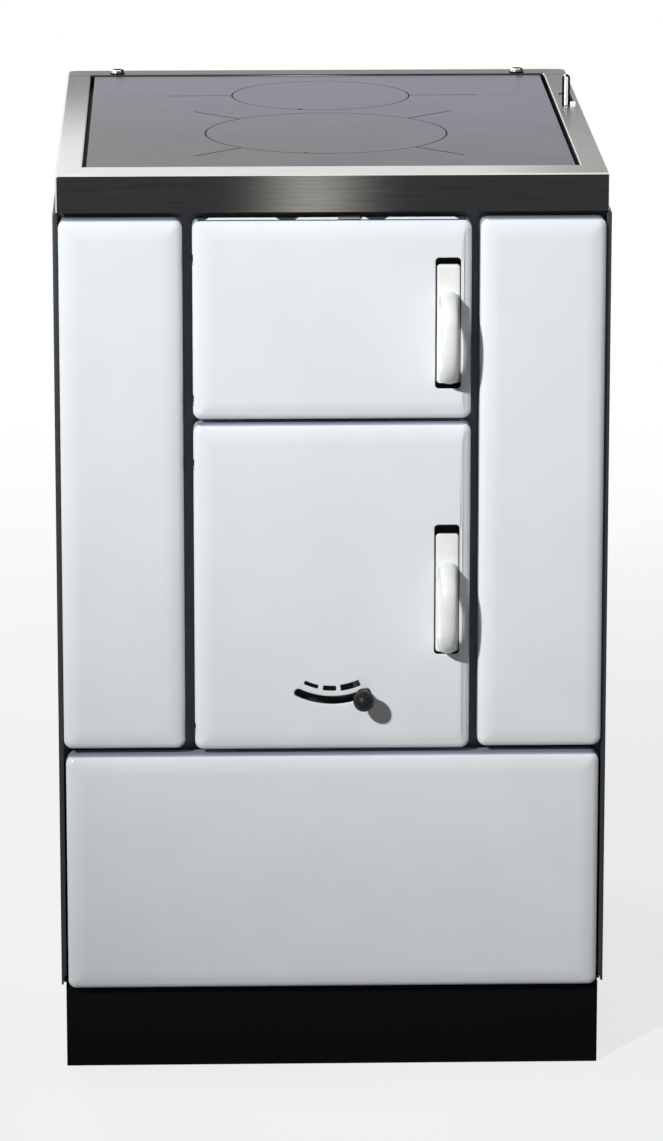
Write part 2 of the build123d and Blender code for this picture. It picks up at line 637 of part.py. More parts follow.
def ash_door_skin():
    door = door_skin(ASH_Z, ASH_CUT_Z, ASH_HINGE_Z)
    through = (FACE_Y - 1, FACE_Y + 4)
    door -= arc_slot(AIR_R, AIR_SLOT_W, -AIR_SWEEP, AIR_SWEEP, through)
    for start, end, width in MARKS:
        door -= arc_slot(MARK_R, width, start, end, through)
    return door


def ash_door_inner():
    plate = door_inner(ASH_Z, ASH_HINGE_Z, hook_z(ASH_PLATE_Z), ASH_LIFT)
    for angle in PORT_ANGLES:
        x, z = air_point(PORT_RING_R, angle)
        plate -= rod_y(x, (DOOR_PLATE_Y[0] - 1, DOOR_PLATE_Y[1] + 1), z, PORT_R)
    return plate + rod_y(0, (DOOR_PLATE_Y[0] - 10, DOOR_PLATE_Y[0]), AIR_Z, STUD_R)


def air_shutter():
    """Round shutter on the pivot stud, with ports that match the door's."""
    y = (DOOR_PLATE_Y[0] - 2.3, DOOR_PLATE_Y[0] - 0.3)
    disc = rod_y(0, y, AIR_Z, SHUTTER_R) - rod_y(0, (y[0] - 1, y[1] + 1), AIR_Z, STUD_R + RUN)
    for angle in PORT_ANGLES:
        x, z = air_point(PORT_RING_R, angle + AIR_REST)
        disc -= rod_y(x, (y[0] - 1, y[1] + 1), z, PORT_R)
    return disc


def air_lever():
    """Strip from the pivot out to the slot, and the stem that carries the knob."""
    y = (DOOR_PLATE_Y[0] - 5.3, DOOR_PLATE_Y[0] - 2.3)
    strip = block((-6, 6), y, (-AIR_R - 6, 0)) + rod_y(0, y, 0, 9) + rod_y(0, y, -AIR_R, 6)
    strip -= rod_y(0, (y[0] - 1, y[1] + 1), 0, STUD_R + RUN)
    strip += rod_y(0, (FACE_Y - STEM_OUT, y[1]), -AIR_R, STEM_R)
    return Pos(0, 0, AIR_Z) * Rot(0, -AIR_REST, 0) * strip


def air_knob():
    x, z = air_point(AIR_R, AIR_REST)
    ball = Pos(x, FACE_Y - KNOB_OUT, z) * Sphere(KNOB_R)
    ball += rod_y(x, (FACE_Y - KNOB_OUT, FACE_Y - 3), z, KNOB_NECK_R)
    return ball - rod_y(x, (FACE_Y - STEM_OUT - 0.1, FACE_Y), z, STEM_R + RUN)


def top_slots(z):
    """Three slots side by side along the fuel door's top edge."""
    slots = []
    for k in (-1, 0, 1):
        middle = k * TOP_SLOT_PITCH + TOP_SLOT_X
        span = (middle - TOP_SLOT_LEN / 2, middle + TOP_SLOT_LEN / 2)
        slots.append(block(span, TOP_SLOT_Y, z))
    return slots


def fuel_door_skin():
    door = door_skin(FUEL_Z, FUEL_CUT_Z, FUEL_HINGE_Z)
    for slot in top_slots((FUEL_Z[1] - 4, FUEL_Z[1] + 1)):
        door -= slot
    return door


def secondary_air_slide():
    """Strip under the door's top edge, with its own slots and a tab to push it by."""
    z = (FUEL_Z[1] - 3.2, FUEL_Z[1] - 2.0)
    strip = block(SLIDE_X, SLIDE_Y, z)
    for middle in (SLIDE_SLOT_X, SLIDE_SLOT_X + TOP_SLOT_PITCH):
        span = (middle - SLIDE_SLOT_LEN / 2, middle + SLIDE_SLOT_LEN / 2)
        strip -= block(span, SLIDE_SLOT_Y, (z[0] - 1, z[1] + 1))
    tab = block((TAB_X - TAB_W / 2, TAB_X + TAB_W / 2), (-297.4, -295.9), (z[0], FUEL_Z[1] + 4))
    return strip + tab


# ---- drawer ----

def drawer_box():
    y = (FACE_Y + SKIN_T, DRAWER_BOX_REAR)
    return sheet_box((-DRAWER_BOX_X, DRAWER_BOX_X), y, DRAWER_BOX_Z)


def drawer_runners():
    """Angle rails on the base plate that carry and guide the drawer."""
    outer = DRAWER_BOX_X + 3
    foot = block((RUNNER_X, outer), RUNNER_Y, (BASE_Z[1], DRAWER_BOX_Z[0] - 0.3))
    lip_z = (BASE_Z[1], DRAWER_BOX_Z[0] + RUNNER_LIP_H)
    lip = block((outer - 2.4, outer), RUNNER_Y, lip_z)
    return mirrored(foot + lip)


# ---- every node ----

wall_hole = right_shaft_hole()
walls = inner_walls() - wall_hole - mirror(wall_hole, about=Plane.YZ)
fuel_hook, ash_hook = hook_z(FUEL_PLATE_Z), hook_z(ASH_PLATE_Z)

save(plinth(), "plinth")
save(base_plate(), "base_plate")
save(side_sheet(), "right_side")
save(mirror(side_sheet(), about=Plane.YZ), "left_side")
save(rear_panel(), "rear_panel")
save(front_frame(), "front_frame")
save(skin(LEFT_PANEL_X, PANEL_Z), "left_panel")
save(skin(RIGHT_PANEL_X, PANEL_Z), "right_panel")
save(panel_clips(), "panel_clips")
save(latch_keepers(), "latch_keepers")
save(group(*[hinge_bracket(z) for z in FUEL_HINGE_Z + ASH_HINGE_Z]), "hinge_brackets")
save(group(*[hinge_pin(z) for z in FUEL_HINGE_Z + ASH_HINGE_Z]), "hinge_pins")

save(top_rim(), "top_rim")
save(rim_rear_strip(), "rim_rear_strip")
save(rim_bolts(), "rim_bolts")
save(lever_stop(), "lever_stop")
save(hob_plate(), "hob_plate")
save(cover(BIG_Y, BIG_R), "big_cover")
save(cover(SMALL_Y, SMALL_R), "small_cover")
save(hob_support_frame(), "hob_support_frame")
save(hob_seal(), "hob_seal")

save(group(walls), "inner_walls")
save(inner_rear_wall(), "inner_rear_wall")
save(ash_floor(), "ash_floor")
save(side_brick(), "firebrick_right")
save(mirror(side_brick(), about=Plane.YZ), "firebrick_left")
save(rear_brick(), "firebrick_rear")
save(front_brick(), "firebrick_front")
save(log_guard(), "log_guard")
save(grate_frame(), "grate_frame")
save(grate(), "grate")
save(grate_rod(), "grate_rod")
save(ash_box(), "ash_box")
save(ash_box_bow(), "ash_box_bow")

save(damper_frame(), "damper_frame")
save(damper_bushes(), "damper_bushes")
save(damper_shaft(), "damper_shaft")
save(damper_flap(), "damper_flap")
save(damper_lever(), "damper_lever")
save(flue_collar(), "flue_collar")

save(fuel_door_skin(), "fuel_door_skin")
save(door_inner(FUEL_Z, FUEL_HINGE_Z, fuel_hook, FUEL_LIFT), "fuel_door_inner")
save(door_seal(FUEL_MOUTH_Z), "fuel_door_seal")
save(handle_plate(FUEL_PLATE_Z), "fuel_handle_plate")
save(handle_grip(FUEL_PLATE_Z), "fuel_handle_grip")
save(latch_hook(FUEL_PLATE_Z), "fuel_latch_hook")
save(secondary_air_slide(), "secondary_air_slide")

save(ash_door_skin(), "ash_door_skin")
save(ash_door_inner(), "ash_door_inner")
save(door_seal(ASH_MOUTH_Z), "ash_door_seal")
save(handle_plate(ASH_PLATE_Z), "ash_handle_plate")
save(handle_grip(ASH_PLATE_Z), "ash_handle_grip")
save(latch_hook(ASH_PLATE_Z), "ash_latch_hook")
save(air_shutter(), "air_shutter")
save(air_lever(), "air_lever")
save(air_knob(), "air_knob")

save(skin((-DRAWER_X, DRAWER_X), DRAWER_Z), "drawer_front")
save(drawer_box(), "drawer_box")
save(drawer_runners(), "drawer_runners")
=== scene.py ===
import json
import math

import bmesh
import bpy
from mathutils import Matrix, Vector

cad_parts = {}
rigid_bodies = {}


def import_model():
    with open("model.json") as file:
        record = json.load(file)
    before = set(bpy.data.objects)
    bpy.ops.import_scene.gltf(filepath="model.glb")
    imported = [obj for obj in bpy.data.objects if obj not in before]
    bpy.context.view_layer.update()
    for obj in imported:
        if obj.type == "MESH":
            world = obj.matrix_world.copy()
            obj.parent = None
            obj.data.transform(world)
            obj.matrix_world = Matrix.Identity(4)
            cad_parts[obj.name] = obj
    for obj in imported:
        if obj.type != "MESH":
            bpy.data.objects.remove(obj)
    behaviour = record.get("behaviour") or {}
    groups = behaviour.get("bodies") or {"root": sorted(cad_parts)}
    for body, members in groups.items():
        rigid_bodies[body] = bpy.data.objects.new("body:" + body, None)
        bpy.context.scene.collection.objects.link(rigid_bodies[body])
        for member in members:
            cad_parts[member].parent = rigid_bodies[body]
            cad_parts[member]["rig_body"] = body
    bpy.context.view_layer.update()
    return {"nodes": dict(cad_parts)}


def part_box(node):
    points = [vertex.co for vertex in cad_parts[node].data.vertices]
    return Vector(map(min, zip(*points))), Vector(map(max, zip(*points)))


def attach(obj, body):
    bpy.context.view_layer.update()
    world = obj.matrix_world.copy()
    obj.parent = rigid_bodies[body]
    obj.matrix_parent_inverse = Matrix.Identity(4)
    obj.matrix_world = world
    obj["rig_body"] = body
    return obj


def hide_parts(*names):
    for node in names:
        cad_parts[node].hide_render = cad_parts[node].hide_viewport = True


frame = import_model()
nodes = frame["nodes"]
mm = 0.001


def linear(hexColour):
    # sRGB hex to the linear RGBA that shaders take
    channels = [int(hexColour[i:i + 2], 16) / 255 for i in (1, 3, 5)]
    return [c / 12.92 if c <= 0.04045 else ((c + 0.055) / 1.055) ** 2.4 for c in channels] + [1.0]


def addNode(tree, kind, inputs=None, feeds=None, stops=None, **settings):
    # one node with its settings; an input is a number, a hex colour, or the node or socket that feeds it,
    # feeds is the socket that the node itself goes to, and stops are the places and colours of a ramp
    node = tree.nodes.new("ShaderNode" + kind)
    for key, value in settings.items():
        setattr(node, key, value)
    for key, value in (inputs or {}).items():
        if isinstance(value, bpy.types.Node):
            value = next(socket for socket in value.outputs if socket.enabled)
        if isinstance(value, bpy.types.NodeSocket):
            tree.links.new(value, node.inputs[key])
        else:
            node.inputs[key].default_value = linear(value) if isinstance(value, str) else value
    if stops:
        stops = list(stops)
        ramp = node.color_ramp.elements
        while len(ramp) < len(stops):
            ramp.new(0.5)
        for element, (place, colour) in zip(ramp, stops):
            element.position = place
            element.color = linear(colour)
    if feeds is not None:
        tree.links.new(next(socket for socket in node.outputs if socket.enabled), feeds)
    return node


def newMaterial(name, values):
    # a material, its tree, its shader with the values on its own sockets, and the place on the piece in mm
    material = bpy.data.materials.new(name)
    material.use_nodes = True
    tree = material.node_tree
    shader = tree.nodes["Principled BSDF"]
    for key, value in values.items():
        shader.inputs[key].default_value = value
    place = addNode(tree, "VectorMath", {0: addNode(tree, "TexCoord").outputs["Object"], 1: (1 / mm,) * 3},
                    operation="MULTIPLY")
    return material, tree, shader, place


def boxMm(node):
    low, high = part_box(node)
    return low * 1000, high * 1000


def makeObject(name, bm, material, smoothAngle=35, weighted=True):
    # bm is in millimetres; the object's mesh is in metres
    bmesh.ops.recalc_face_normals(bm, faces=bm.faces)
    bmesh.ops.scale(bm, vec=(mm, mm, mm), verts=bm.verts)
    mesh = bpy.data.meshes.new(name)
    bm.to_mesh(mesh)
    bm.free()
    obj = bpy.data.objects.new(name, mesh)
    bpy.context.scene.collection.objects.link(obj)
    for one in material if isinstance(material, list) else [material]:
        mesh.materials.append(one)
    finishShading(obj, smoothAngle, weighted)
    return obj


def finishShading(obj, smoothAngle=35, weighted=True):
    mesh = obj.data
    mesh.polygons.foreach_set("use_smooth", [True] * len(mesh.polygons))
    mesh.set_sharp_from_angle(angle=math.radians(smoothAngle))
    if weighted:
        modifier = obj.modifiers.new("evenNormals", "WEIGHTED_NORMAL")
        modifier.keep_sharp = True


def quarter(steps):
    # angles from nothing to a right angle
    return [math.pi / 2 * k / steps for k in range(steps + 1)]


def loft(bm, outlines, ends="capped"):
    # a skin over outlines of equal count, with its ends capped, left open or joined round
    rings = [[bm.verts.new(point) for point in outline] for outline in outlines]
    for first, second in zip(rings, rings[1:] + (rings[:1] if ends == "joined" else [])):
        for i in range(len(first)):
            j = (i + 1) % len(first)
            bm.faces.new((first[i], first[j], second[j], second[i]))
    if ends == "capped":
        bm.faces.new(rings[0])
        bm.faces.new(rings[-1])
    return rings


def lathe(bm, profile, place, steps):
    # profile is (radius, height) pairs; place turns height into the wanted direction
    turns = [math.tau * k / steps for k in range(steps)]
    loft(bm, [[place @ Vector((radius * math.cos(turn), radius * math.sin(turn), height)) for turn in turns]
              for radius, height in profile])


def roundedRect(x, z, radius, grow=0.0, steps=8, least=0.15):
    # outline of a rectangle with round corners, grown outwards; radius is one number, or one for
    # each corner
    radii = [max(r + grow, least) for r in (radius if isinstance(radius, tuple) else (radius,) * 4)]
    low, high = (x[0] - grow, z[0] - grow), (x[1] + grow, z[1] + grow)
    points = []
    for corner, (right, up) in enumerate(((True, True), (False, True), (False, False), (True, False))):
        r = radii[corner]
        centre = (high[0] - r if right else low[0] + r, high[1] - r if up else low[1] + r)
        for step in range(steps + 1):
            angle = math.radians(90 * (corner + step / steps))
            points.append((centre[0] + r * math.cos(angle), centre[1] + r * math.sin(angle)))
    return points


def atDepth(outline, y):
    # an outline seen from the front, set upright at one depth
    return [(u, y, v) for u, v in outline]


def atHeight(outline, z):
    # an outline seen from above, laid level at one height
    return [(u, v, z) for u, v in outline]


def cutterBox(x, y, z, radius=0.0, axis="Z"):
    # a box to cut with, its edges along axis rounded
    a, b, c = {"Z": (0, 1, 2), "Y": (0, 2, 1), "X": (1, 2, 0)}[axis]
    spans = (x, y, z)
    outlines = []
    for level in spans[c]:
        outline = []
        for u, v in roundedRect(spans[a], spans[b], radius, steps=6 if radius else 1):
            point = [0, 0, 0]
            point[a], point[b], point[c] = u, v, level
            outline.append(point)
        outlines.append(outline)
    bm = bmesh.new()
    loft(bm, outlines)
    return makeObject("cutter", bm, [], weighted=False)


def cut(obj, cutters):
    # takes the cutters out of the object for good
    for modifier in [m for m in obj.modifiers if m.type == "WEIGHTED_NORMAL"]:
        obj.modifiers.remove(modifier)
    for cutter in cutters:
        modifier = obj.modifiers.new("cut", "BOOLEAN")
        modifier.object = cutter
        modifier.solver = "EXACT"
    bpy.context.view_layer.update()
    graph = bpy.context.evaluated_depsgraph_get()
    mesh = bpy.data.meshes.new_from_object(obj.evaluated_get(graph))
    obj.modifiers.clear()
    obj.data = mesh
    for cutter in cutters:
        bpy.data.objects.remove(cutter)
    finishShading(obj)


def joinedInMm(meshes, boxes):
    # a bmesh in millimetres of the meshes and of boxes that are used up in it
    bm = bmesh.new()
    for mesh in meshes + [box.data for box in boxes]:
        bm.from_mesh(mesh)
    for box in boxes:
        bpy.data.objects.remove(box)
    bmesh.ops.scale(bm, vec=(1000, 1000, 1000), verts=bm.verts)
    return bm


def standFor(obj, body, slot, *replaced):
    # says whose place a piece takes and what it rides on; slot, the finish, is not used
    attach(obj, body)
    if replaced:
        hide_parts(*replaced)


cameraValues = {
    "place": (-0.131, -5.2, 1.72),      # metres
    "pitch": 14.18,                     # degrees below level
    "yaw": 1.52,                        # degrees towards +X
    "lens": 173.9,                      # mm, for the sensor below
    "sensor": 36,
    "farthest": 60,                     # metres
}


def makeCamera():
    camera = bpy.data.cameras.new("camera")
    camera.lens = cameraValues["lens"]
    camera.sensor_width = cameraValues["sensor"]
    camera.clip_end = cameraValues["farthest"]
    obj = bpy.data.objects.new("camera", camera)
    obj.location = cameraValues["place"]
    obj.rotation_euler = (math.radians(90 - cameraValues["pitch"]), 0, math.radians(-cameraValues["yaw"]))
    bpy.context.scene.collection.objects.link(obj)
    bpy.context.scene.camera = obj
    bpy.context.scene.view_settings.view_transform = "Standard"


# place and target in metres, size of the lamp in metres, watts; the cone is only for the spot
lampValues = {
    "keySpot": {"kind": "SPOT", "place": (-2.27, -4.0, 2.95), "target": (0.06, -0.3, 1.30), "size": 0.12,
                "watts": 1090, "cone": 39.2},
    "frontSoftbox": {"kind": "AREA", "place": (1.1, -2.6, 2.9), "target": (0.0, -0.3, 0.7), "size": 1.2,
                     "watts": 1.5},
    "rightSoftbox": {"kind": "AREA", "place": (3.2, 0.6, 2.2), "target": (0.0, 0.0, 0.5), "size": 1.6,
                     "watts": 11},
    "leftSoftbox": {"kind": "AREA", "place": (-3.2, 0.9, 2.2), "target": (0.0, 0.0, 0.5), "size": 1.6,
                    "watts": 20},
    "rearSoftbox": {"kind": "AREA", "place": (-0.9, 1.9, 2.9), "target": (0.0, 0.0, 0.6), "size": 1.2,
                    "watts": 22},
}


def makeLamps():
    for name, values in lampValues.items():
        lamp = bpy.data.lights.new(name, values["kind"])
        lamp.energy = values["watts"]
        if values["kind"] == "SPOT":
            lamp.shadow_soft_size = values["size"]
            lamp.spot_size = math.radians(values["cone"])
            lamp.spot_blend = 1.0       # falls off softly from the hob down to the plinth
        else:
            lamp.shape = "DISK"
            lamp.size = values["size"]
        obj = bpy.data.objects.new(name, lamp)
        obj.location = values["place"]
        aim = Vector(values["target"]) - Vector(values["place"])
        obj.rotation_euler = aim.to_track_quat("-Z", "Y").to_euler()
        obj.visible_camera = False
        bpy.context.scene.collection.objects.link(obj)


studioValues = {
    "fill": 0.035,             # world light on the object
    "fillTint": "#EEF3FF",
    "white": "#FFFFFF",
    "floorRadius": 9.0,        # metres
    "floorSides": 96,
    "floorTone": "#F4F4F4",
    "floorBounce": "#8C8C8C",  # what the floor gives back to the stove, kept low so that shadows stay deep
    "floorShade": 0.24,        # how much of the floor's own shading and shadow is seen near the stove
    "fadeStart": 0.7,          # metres from the stove where the floor starts to go plain white
    "fadeEnd": 2.6,
}


def seenWhite(tree):
    # 1 where the camera, a mirror-like surface or clear glass looks, 0 for light on the object
    path = addNode(tree, "LightPath").outputs
    seen = addNode(tree, "Math", {0: path["Is Camera Ray"], 1: path["Is Glossy Ray"]}, operation="MAXIMUM")
    return addNode(tree, "Math", {0: seen, 1: path["Is Transmission Ray"]}, operation="MAXIMUM")


def makeWorld():
    world = bpy.data.worlds.new("studio")
    world.use_nodes = True
    tree = world.node_tree
    tree.nodes.clear()
    fill = addNode(tree, "Background",
                   {"Color": studioValues["fillTint"], "Strength": studioValues["fill"]})
    white = addNode(tree, "Background", {"Color": studioValues["white"], "Strength": 1.0})
    mix = addNode(tree, "MixShader", {0: seenWhite(tree), 1: fill, 2: white})
    addNode(tree, "OutputWorld", {"Surface": mix})
    bpy.context.scene.world = world


def makeFloor():
    # matt pale floor paint: it keeps a soft shadow near the stove and goes over into plain white
    radius, sides = studioValues["floorRadius"] / mm, studioValues["floorSides"]
    turns = [math.tau * k / sides for k in range(sides)]
    bm = bmesh.new()
    bm.faces.new([bm.verts.new((radius * math.cos(turn), radius * math.sin(turn), 0)) for turn in turns])
    material, tree, shader, place = newMaterial("paleFloorPaint", {"Roughness": 0.9})
    addNode(tree, "Mix", {"Factor": seenWhite(tree), 6: studioValues["floorBounce"],
                          7: studioValues["floorTone"]}, shader.inputs["Base Color"], data_type="RGBA")
    distance = addNode(tree, "VectorMath", {0: place}, operation="LENGTH")
    fade = addNode(tree, "MapRange", {0: distance, 1: studioValues["fadeStart"] / mm,
                                      2: studioValues["fadeEnd"] / mm, 3: 1 - studioValues["floorShade"],
                                      4: 1.0}, interpolation_type="SMOOTHSTEP")
    factor = addNode(tree, "Math", {0: fade, 1: seenWhite(tree)}, operation="MULTIPLY")
    white = addNode(tree, "Emission", {"Color": studioValues["white"], "Strength": 1.0})
    addNode(tree, "MixShader", {0: factor, 1: shader, 2: white},
            tree.nodes["Material Output"].inputs["Surface"])
    floor = makeObject("floor", bm, material, weighted=False)
    print("camera, lamps and floor made")


enamelValues = {"white": "#EEF3F7", "cloud": "#EAF0F3", "cloudMm": 70, "peelMm": 3.2, "peelDepthMm": 0.012}


def vitreousEnamel():
    # Vitreous enamel, sprayed on pressed steel and fired: a glassy white skin with a faint orange peel
    # that makes reflections swim a little, and a cloudy variation in the glaze that is only just seen.
    material, tree, shader, place = newMaterial("vitreousEnamel", {"Roughness": 0.16, "IOR": 1.5})
    cloud = addNode(tree, "TexNoise",
                    {"Vector": place, "Scale": 1 / enamelValues["cloudMm"], "Detail": 2.0})
    addNode(tree, "ValToRGB", {0: cloud}, shader.inputs["Base Color"],
            ((0.35, enamelValues["cloud"]), (0.65, enamelValues["white"])))
    peel = addNode(tree, "TexNoise", {"Vector": place, "Scale": 1 / enamelValues["peelMm"], "Detail": 1.5})
    addNode(tree, "Bump", {"Height": peel, "Distance": enamelValues["peelDepthMm"] * mm},
            shader.inputs["Normal"])
    return material


thermosetValues = {"cream": "#F7F8F6", "shade": "#F0F1ED", "flowMm": 22, "skinMm": 1.1,
                   "skinDepthMm": 0.006}


def creamThermoset():
    # Compression-moulded thermoset: cream white, a satin skin, faint flow marks along the moulding.
    material, tree, shader, place = newMaterial("creamThermoset", {"Roughness": 0.28, "IOR": 1.52})
    flow = addNode(tree, "TexNoise",
                   {"Vector": place, "Scale": 1 / thermosetValues["flowMm"], "Detail": 3.0})
    addNode(tree, "ValToRGB", {0: flow}, shader.inputs["Base Color"],
            ((0.35, thermosetValues["shade"]), (0.6, thermosetValues["cream"])))
    skin = addNode(tree, "TexNoise",
                   {"Vector": place, "Scale": 1 / thermosetValues["skinMm"], "Detail": 2.0})
    addNode(tree, "Bump", {"Height": skin, "Distance": thermosetValues["skinDepthMm"] * mm},
            shader.inputs["Normal"])
    return material


# dark and light tone, roughness, gloss, width and depth of the pebble in mm
coatValues = {
    "charcoalPowderCoat": ("#232527", "#2D2F32", 0.42, 0.25, 1.3, 0.03),    # side sheets, a soft sheen
    "stoveBlackPaint": ("#131416", "#1B1C1E", 0.6, 0.12, 0.9, 0.02),        # heat paint, matt, near black
    "paintedShadeBlack": ("#050506", "#0A0A0B", 0.8, 0.05, 0.8, 0.02),             # painted shade, near black, on edges, walls and facets
    "plinthBlackPaint": ("#08090B", "#0C0D10", 0.6, 0.03, 1.0, 0.02),       # sprayed board, a flat black
    "paintedHighlightEdge": ("#DCDCDA", "#F0F0EE", 0.5, 0.5, 0.6, 0.02),              # painted highlight, a bright line on edges
    "enamelPaintedShadowDark": ("#4A515A", "#57606A", 0.35, 0.4, 0.8, 0.02),       # painted shadow, blue-grey, on the fuel door's top edge
    "enamelPaintedShadowBlue": ("#9BA1B2", "#A9AFC0", 0.25, 0.5, 0.8, 0.02),        # painted shadow, a lighter bluish line on top edges
    "openingPaintedShade": ("#141517", "#1C1D20", 0.7, 0.1, 0.8, 0.02),             # painted shade on the walls of openings
}
coatWear = {"from": 0.5, "to": 0.58, "lighter": 0.35, "patchMm": 90}    # where edges wear, and how much


def powderCoat(name, dark, light, roughness, gloss, grainMm, depthMm):
    # Polyester powder coat baked on sheet steel: an even skin with a fine pebble, about 1 mm across,
    # that breaks highlights into a soft sheen; edges are a touch lighter where the coat is thin.
    material, tree, shader, place = newMaterial(name, {"Roughness": roughness, "IOR": 1.5,
                                                       "Specular IOR Level": gloss})
    pebble = addNode(tree, "TexNoise", {"Vector": place, "Scale": 1 / grainMm, "Detail": 2.0})
    worn = addNode(tree, "NewGeometry").outputs["Pointiness"]
    edge = addNode(tree, "MapRange", {0: worn, 1: coatWear["from"], 2: coatWear["to"], 3: 0.0,
                                      4: coatWear["lighter"]})
    patch = addNode(tree, "TexNoise", {"Vector": place, "Scale": 1 / coatWear["patchMm"], "Detail": 3.0})
    tone = addNode(tree, "Math", {0: patch, 1: edge}, operation="ADD")
    addNode(tree, "ValToRGB", {0: tone}, shader.inputs["Base Color"], ((0.35, dark), (0.75, light)))
    addNode(tree, "Bump", {"Height": pebble, "Distance": depthMm * mm}, shader.inputs["Normal"])
    return material


stainlessValues = {
    "top": ("#4A4846", "#545250"),       # borders of the hob towards the rear, the dark end of a painted reflection
    "topFront": ("#C2C4C2", "#CDCDC9"),  # the same at the front and left, lightened as a painted reflection
    "frontFade": (-220, 250),            # mm along Y from the bright end to the dark one
    "rightFade": (110, 250, 0.25),       # mm along X where it falls off, and what is left of it
    "bend": ("#DAD9D2", "#E6E5DE"),      # folded edges, lightened as a painted highlight
    "bendRoughness": 0.22,
    "front": ("#2B2A2B", "#373536"),     # front strip, painted dark as the room's reflection in it
    "rear": ("#33312F", "#403D3A"),      # strip behind the hob, painted darker and browner as its dim reflection
    "patch": ("#7C7B76", "#908F89"),     # a painted reflection of a lamp: a brighter band across the front strip
    "patchMiddle": -18,                  # mm
    "patchWidth": 44,
    "grainMm": 0.45,
    "grainLengthMm": 60,
    "grainDepthMm": 0.012,
}
# the noise of brushed, ground and drawn lines goes from dark to light between these
lineStops = (0.3, 0.7)


def paintedSheenShare(tree, place):
    # 1 in the middle of the painted reflection on the front strip, falling off like a bell along X
    x = addNode(tree, "SeparateXYZ", {0: place}).outputs["X"]
    offset = addNode(tree, "Math", {0: x, 1: stainlessValues["patchMiddle"]}, operation="SUBTRACT")
    ratio = addNode(tree, "Math", {0: offset, 1: stainlessValues["patchWidth"]}, operation="DIVIDE")
    square = addNode(tree, "Math", {0: ratio, 1: ratio}, operation="MULTIPLY")
    fall = addNode(tree, "Math", {0: square, 1: -1.0}, operation="MULTIPLY")
    return addNode(tree, "Math", {0: fall}, operation="EXPONENT")


def frontShare(tree, place):
    # share of the painted reflection on the borders: 1 at the front, 0 at the rear, and less towards the
    # right
    axes = addNode(tree, "SeparateXYZ", {0: place}).outputs
    start, end = stainlessValues["frontFade"]
    along = addNode(tree, "MapRange", {0: axes["Y"], 1: start, 2: end, 3: 1.0, 4: 0.0},
                    interpolation_type="SMOOTHSTEP")
    start, end, left = stainlessValues["rightFade"]
    across = addNode(tree, "MapRange", {0: axes["X"], 1: start, 2: end, 3: 1.0, 4: left},
                     interpolation_type="SMOOTHSTEP")
    return addNode(tree, "Math", {0: along, 1: across}, operation="MULTIPLY")


def brushedStainless(name, shades, roughness=0.34, alongY=False, brighter=None, shareOf=None):
    # Brushed stainless steel sheet: the belt leaves lines about half a millimetre apart and some
    # centimetres long, so highlights smear across them.
    material, tree, shader, place = newMaterial(name, {"Metallic": 1.0, "Roughness": roughness})
    fine, along = 1 / stainlessValues["grainMm"], 1 / stainlessValues["grainLengthMm"]
    grain = addNode(tree, "VectorMath",
                    {0: place, 1: (fine, along, fine) if alongY else (along, fine, fine)},
                    operation="MULTIPLY")
    lines = addNode(tree, "TexNoise", {"Vector": grain, "Scale": 1.0, "Detail": 3.0, "Roughness": 0.65})
    tone = addNode(tree, "ValToRGB", {0: lines}, shader.inputs["Base Color"], zip(lineStops, shades))
    # brighter is a painted reflection, mixed in as much as shareOf gives
    if brighter:
        bright = addNode(tree, "ValToRGB", {0: lines}, stops=zip(lineStops, brighter))
        addNode(tree, "Mix", {"Factor": shareOf(tree, place), 6: tone, 7: bright},
                shader.inputs["Base Color"],
                data_type="RGBA")
    addNode(tree, "MapRange", {0: lines, 1: lineStops[0], 2: lineStops[1], 3: roughness - 0.06,
                               4: roughness + 0.08}, shader.inputs["Roughness"])
    addNode(tree, "Bump", {"Height": lines, "Distance": stainlessValues["grainDepthMm"] * mm},
            shader.inputs["Normal"])
    return material


hobValues = {
    "warm": "#535354",
    "cool": "#666777",          # painted bluish reflection, towards the rear and right
    "reflectionSlope": 0.6,         # the painted reflection grows along Y and this much of X
    "reflectionFade": (-360, 330),  # mm on that slope
    "bluishReflection": 0.75,
    "mottleMm": 60,
    "mottle": 0.25,
    "grindMm": 0.8,
    "grindLengthMm": 14,
    "grindDepthMm": 0.01,
    "roughness": (0.42, 0.47),
    "edge": 0.8,                # mm of chamfer round the plate, which carries a painted highlight
}


def groundSteel():
    # Cast steel hob plate, surface-ground and oiled: mid grey with short grinding lines, soft mottling
    # from heat, and a faint bluish painted reflection towards the rear and right.
    smooth, rough = hobValues["roughness"]
    material, tree, shader, place = newMaterial("groundSteelPlate", {"Metallic": 1.0, "Roughness": smooth})
    mottle = addNode(tree, "TexNoise", {"Vector": place, "Scale": 1 / hobValues["mottleMm"], "Detail": 4.0,
                                        "Roughness": 0.6})
    axes = addNode(tree, "SeparateXYZ", {0: place}).outputs
    slope = addNode(tree, "Math", {0: axes["X"], 1: hobValues["reflectionSlope"], 2: axes["Y"]},
                    operation="MULTIPLY_ADD")
    start, end = hobValues["reflectionFade"]
    bluishReflection = addNode(tree, "MapRange", {0: slope, 1: start, 2: end, 3: 0.0, 4: hobValues["bluishReflection"]},
                     interpolation_type="SMOOTHSTEP")
    blend = addNode(tree, "Math", {0: mottle, 1: hobValues["mottle"], 2: bluishReflection}, operation="MULTIPLY_ADD")
    addNode(tree, "ValToRGB", {0: blend}, shader.inputs["Base Color"],
            ((0.1, hobValues["warm"]), (0.9, hobValues["cool"])))
    grain = addNode(tree, "VectorMath", {0: place, 1: (1 / hobValues["grindLengthMm"],
                                                       1 / hobValues["grindMm"], 1)}, operation="MULTIPLY")
    lines = addNode(tree, "TexNoise", {"Vector": grain, "Scale": 1.0, "Detail": 2.0})
    addNode(tree, "MapRange", {0: mottle, 1: lineStops[0], 2: lineStops[1], 3: smooth, 4: rough},
            shader.inputs["Roughness"])
    addNode(tree, "Bump", {"Height": lines, "Distance": hobValues["grindDepthMm"] * mm},
            shader.inputs["Normal"])
    return material


ironValues = {"shades": ("#2B2C2E", "#3E3F41"), "sandMm": 1.8, "sandDepthMm": 0.16}


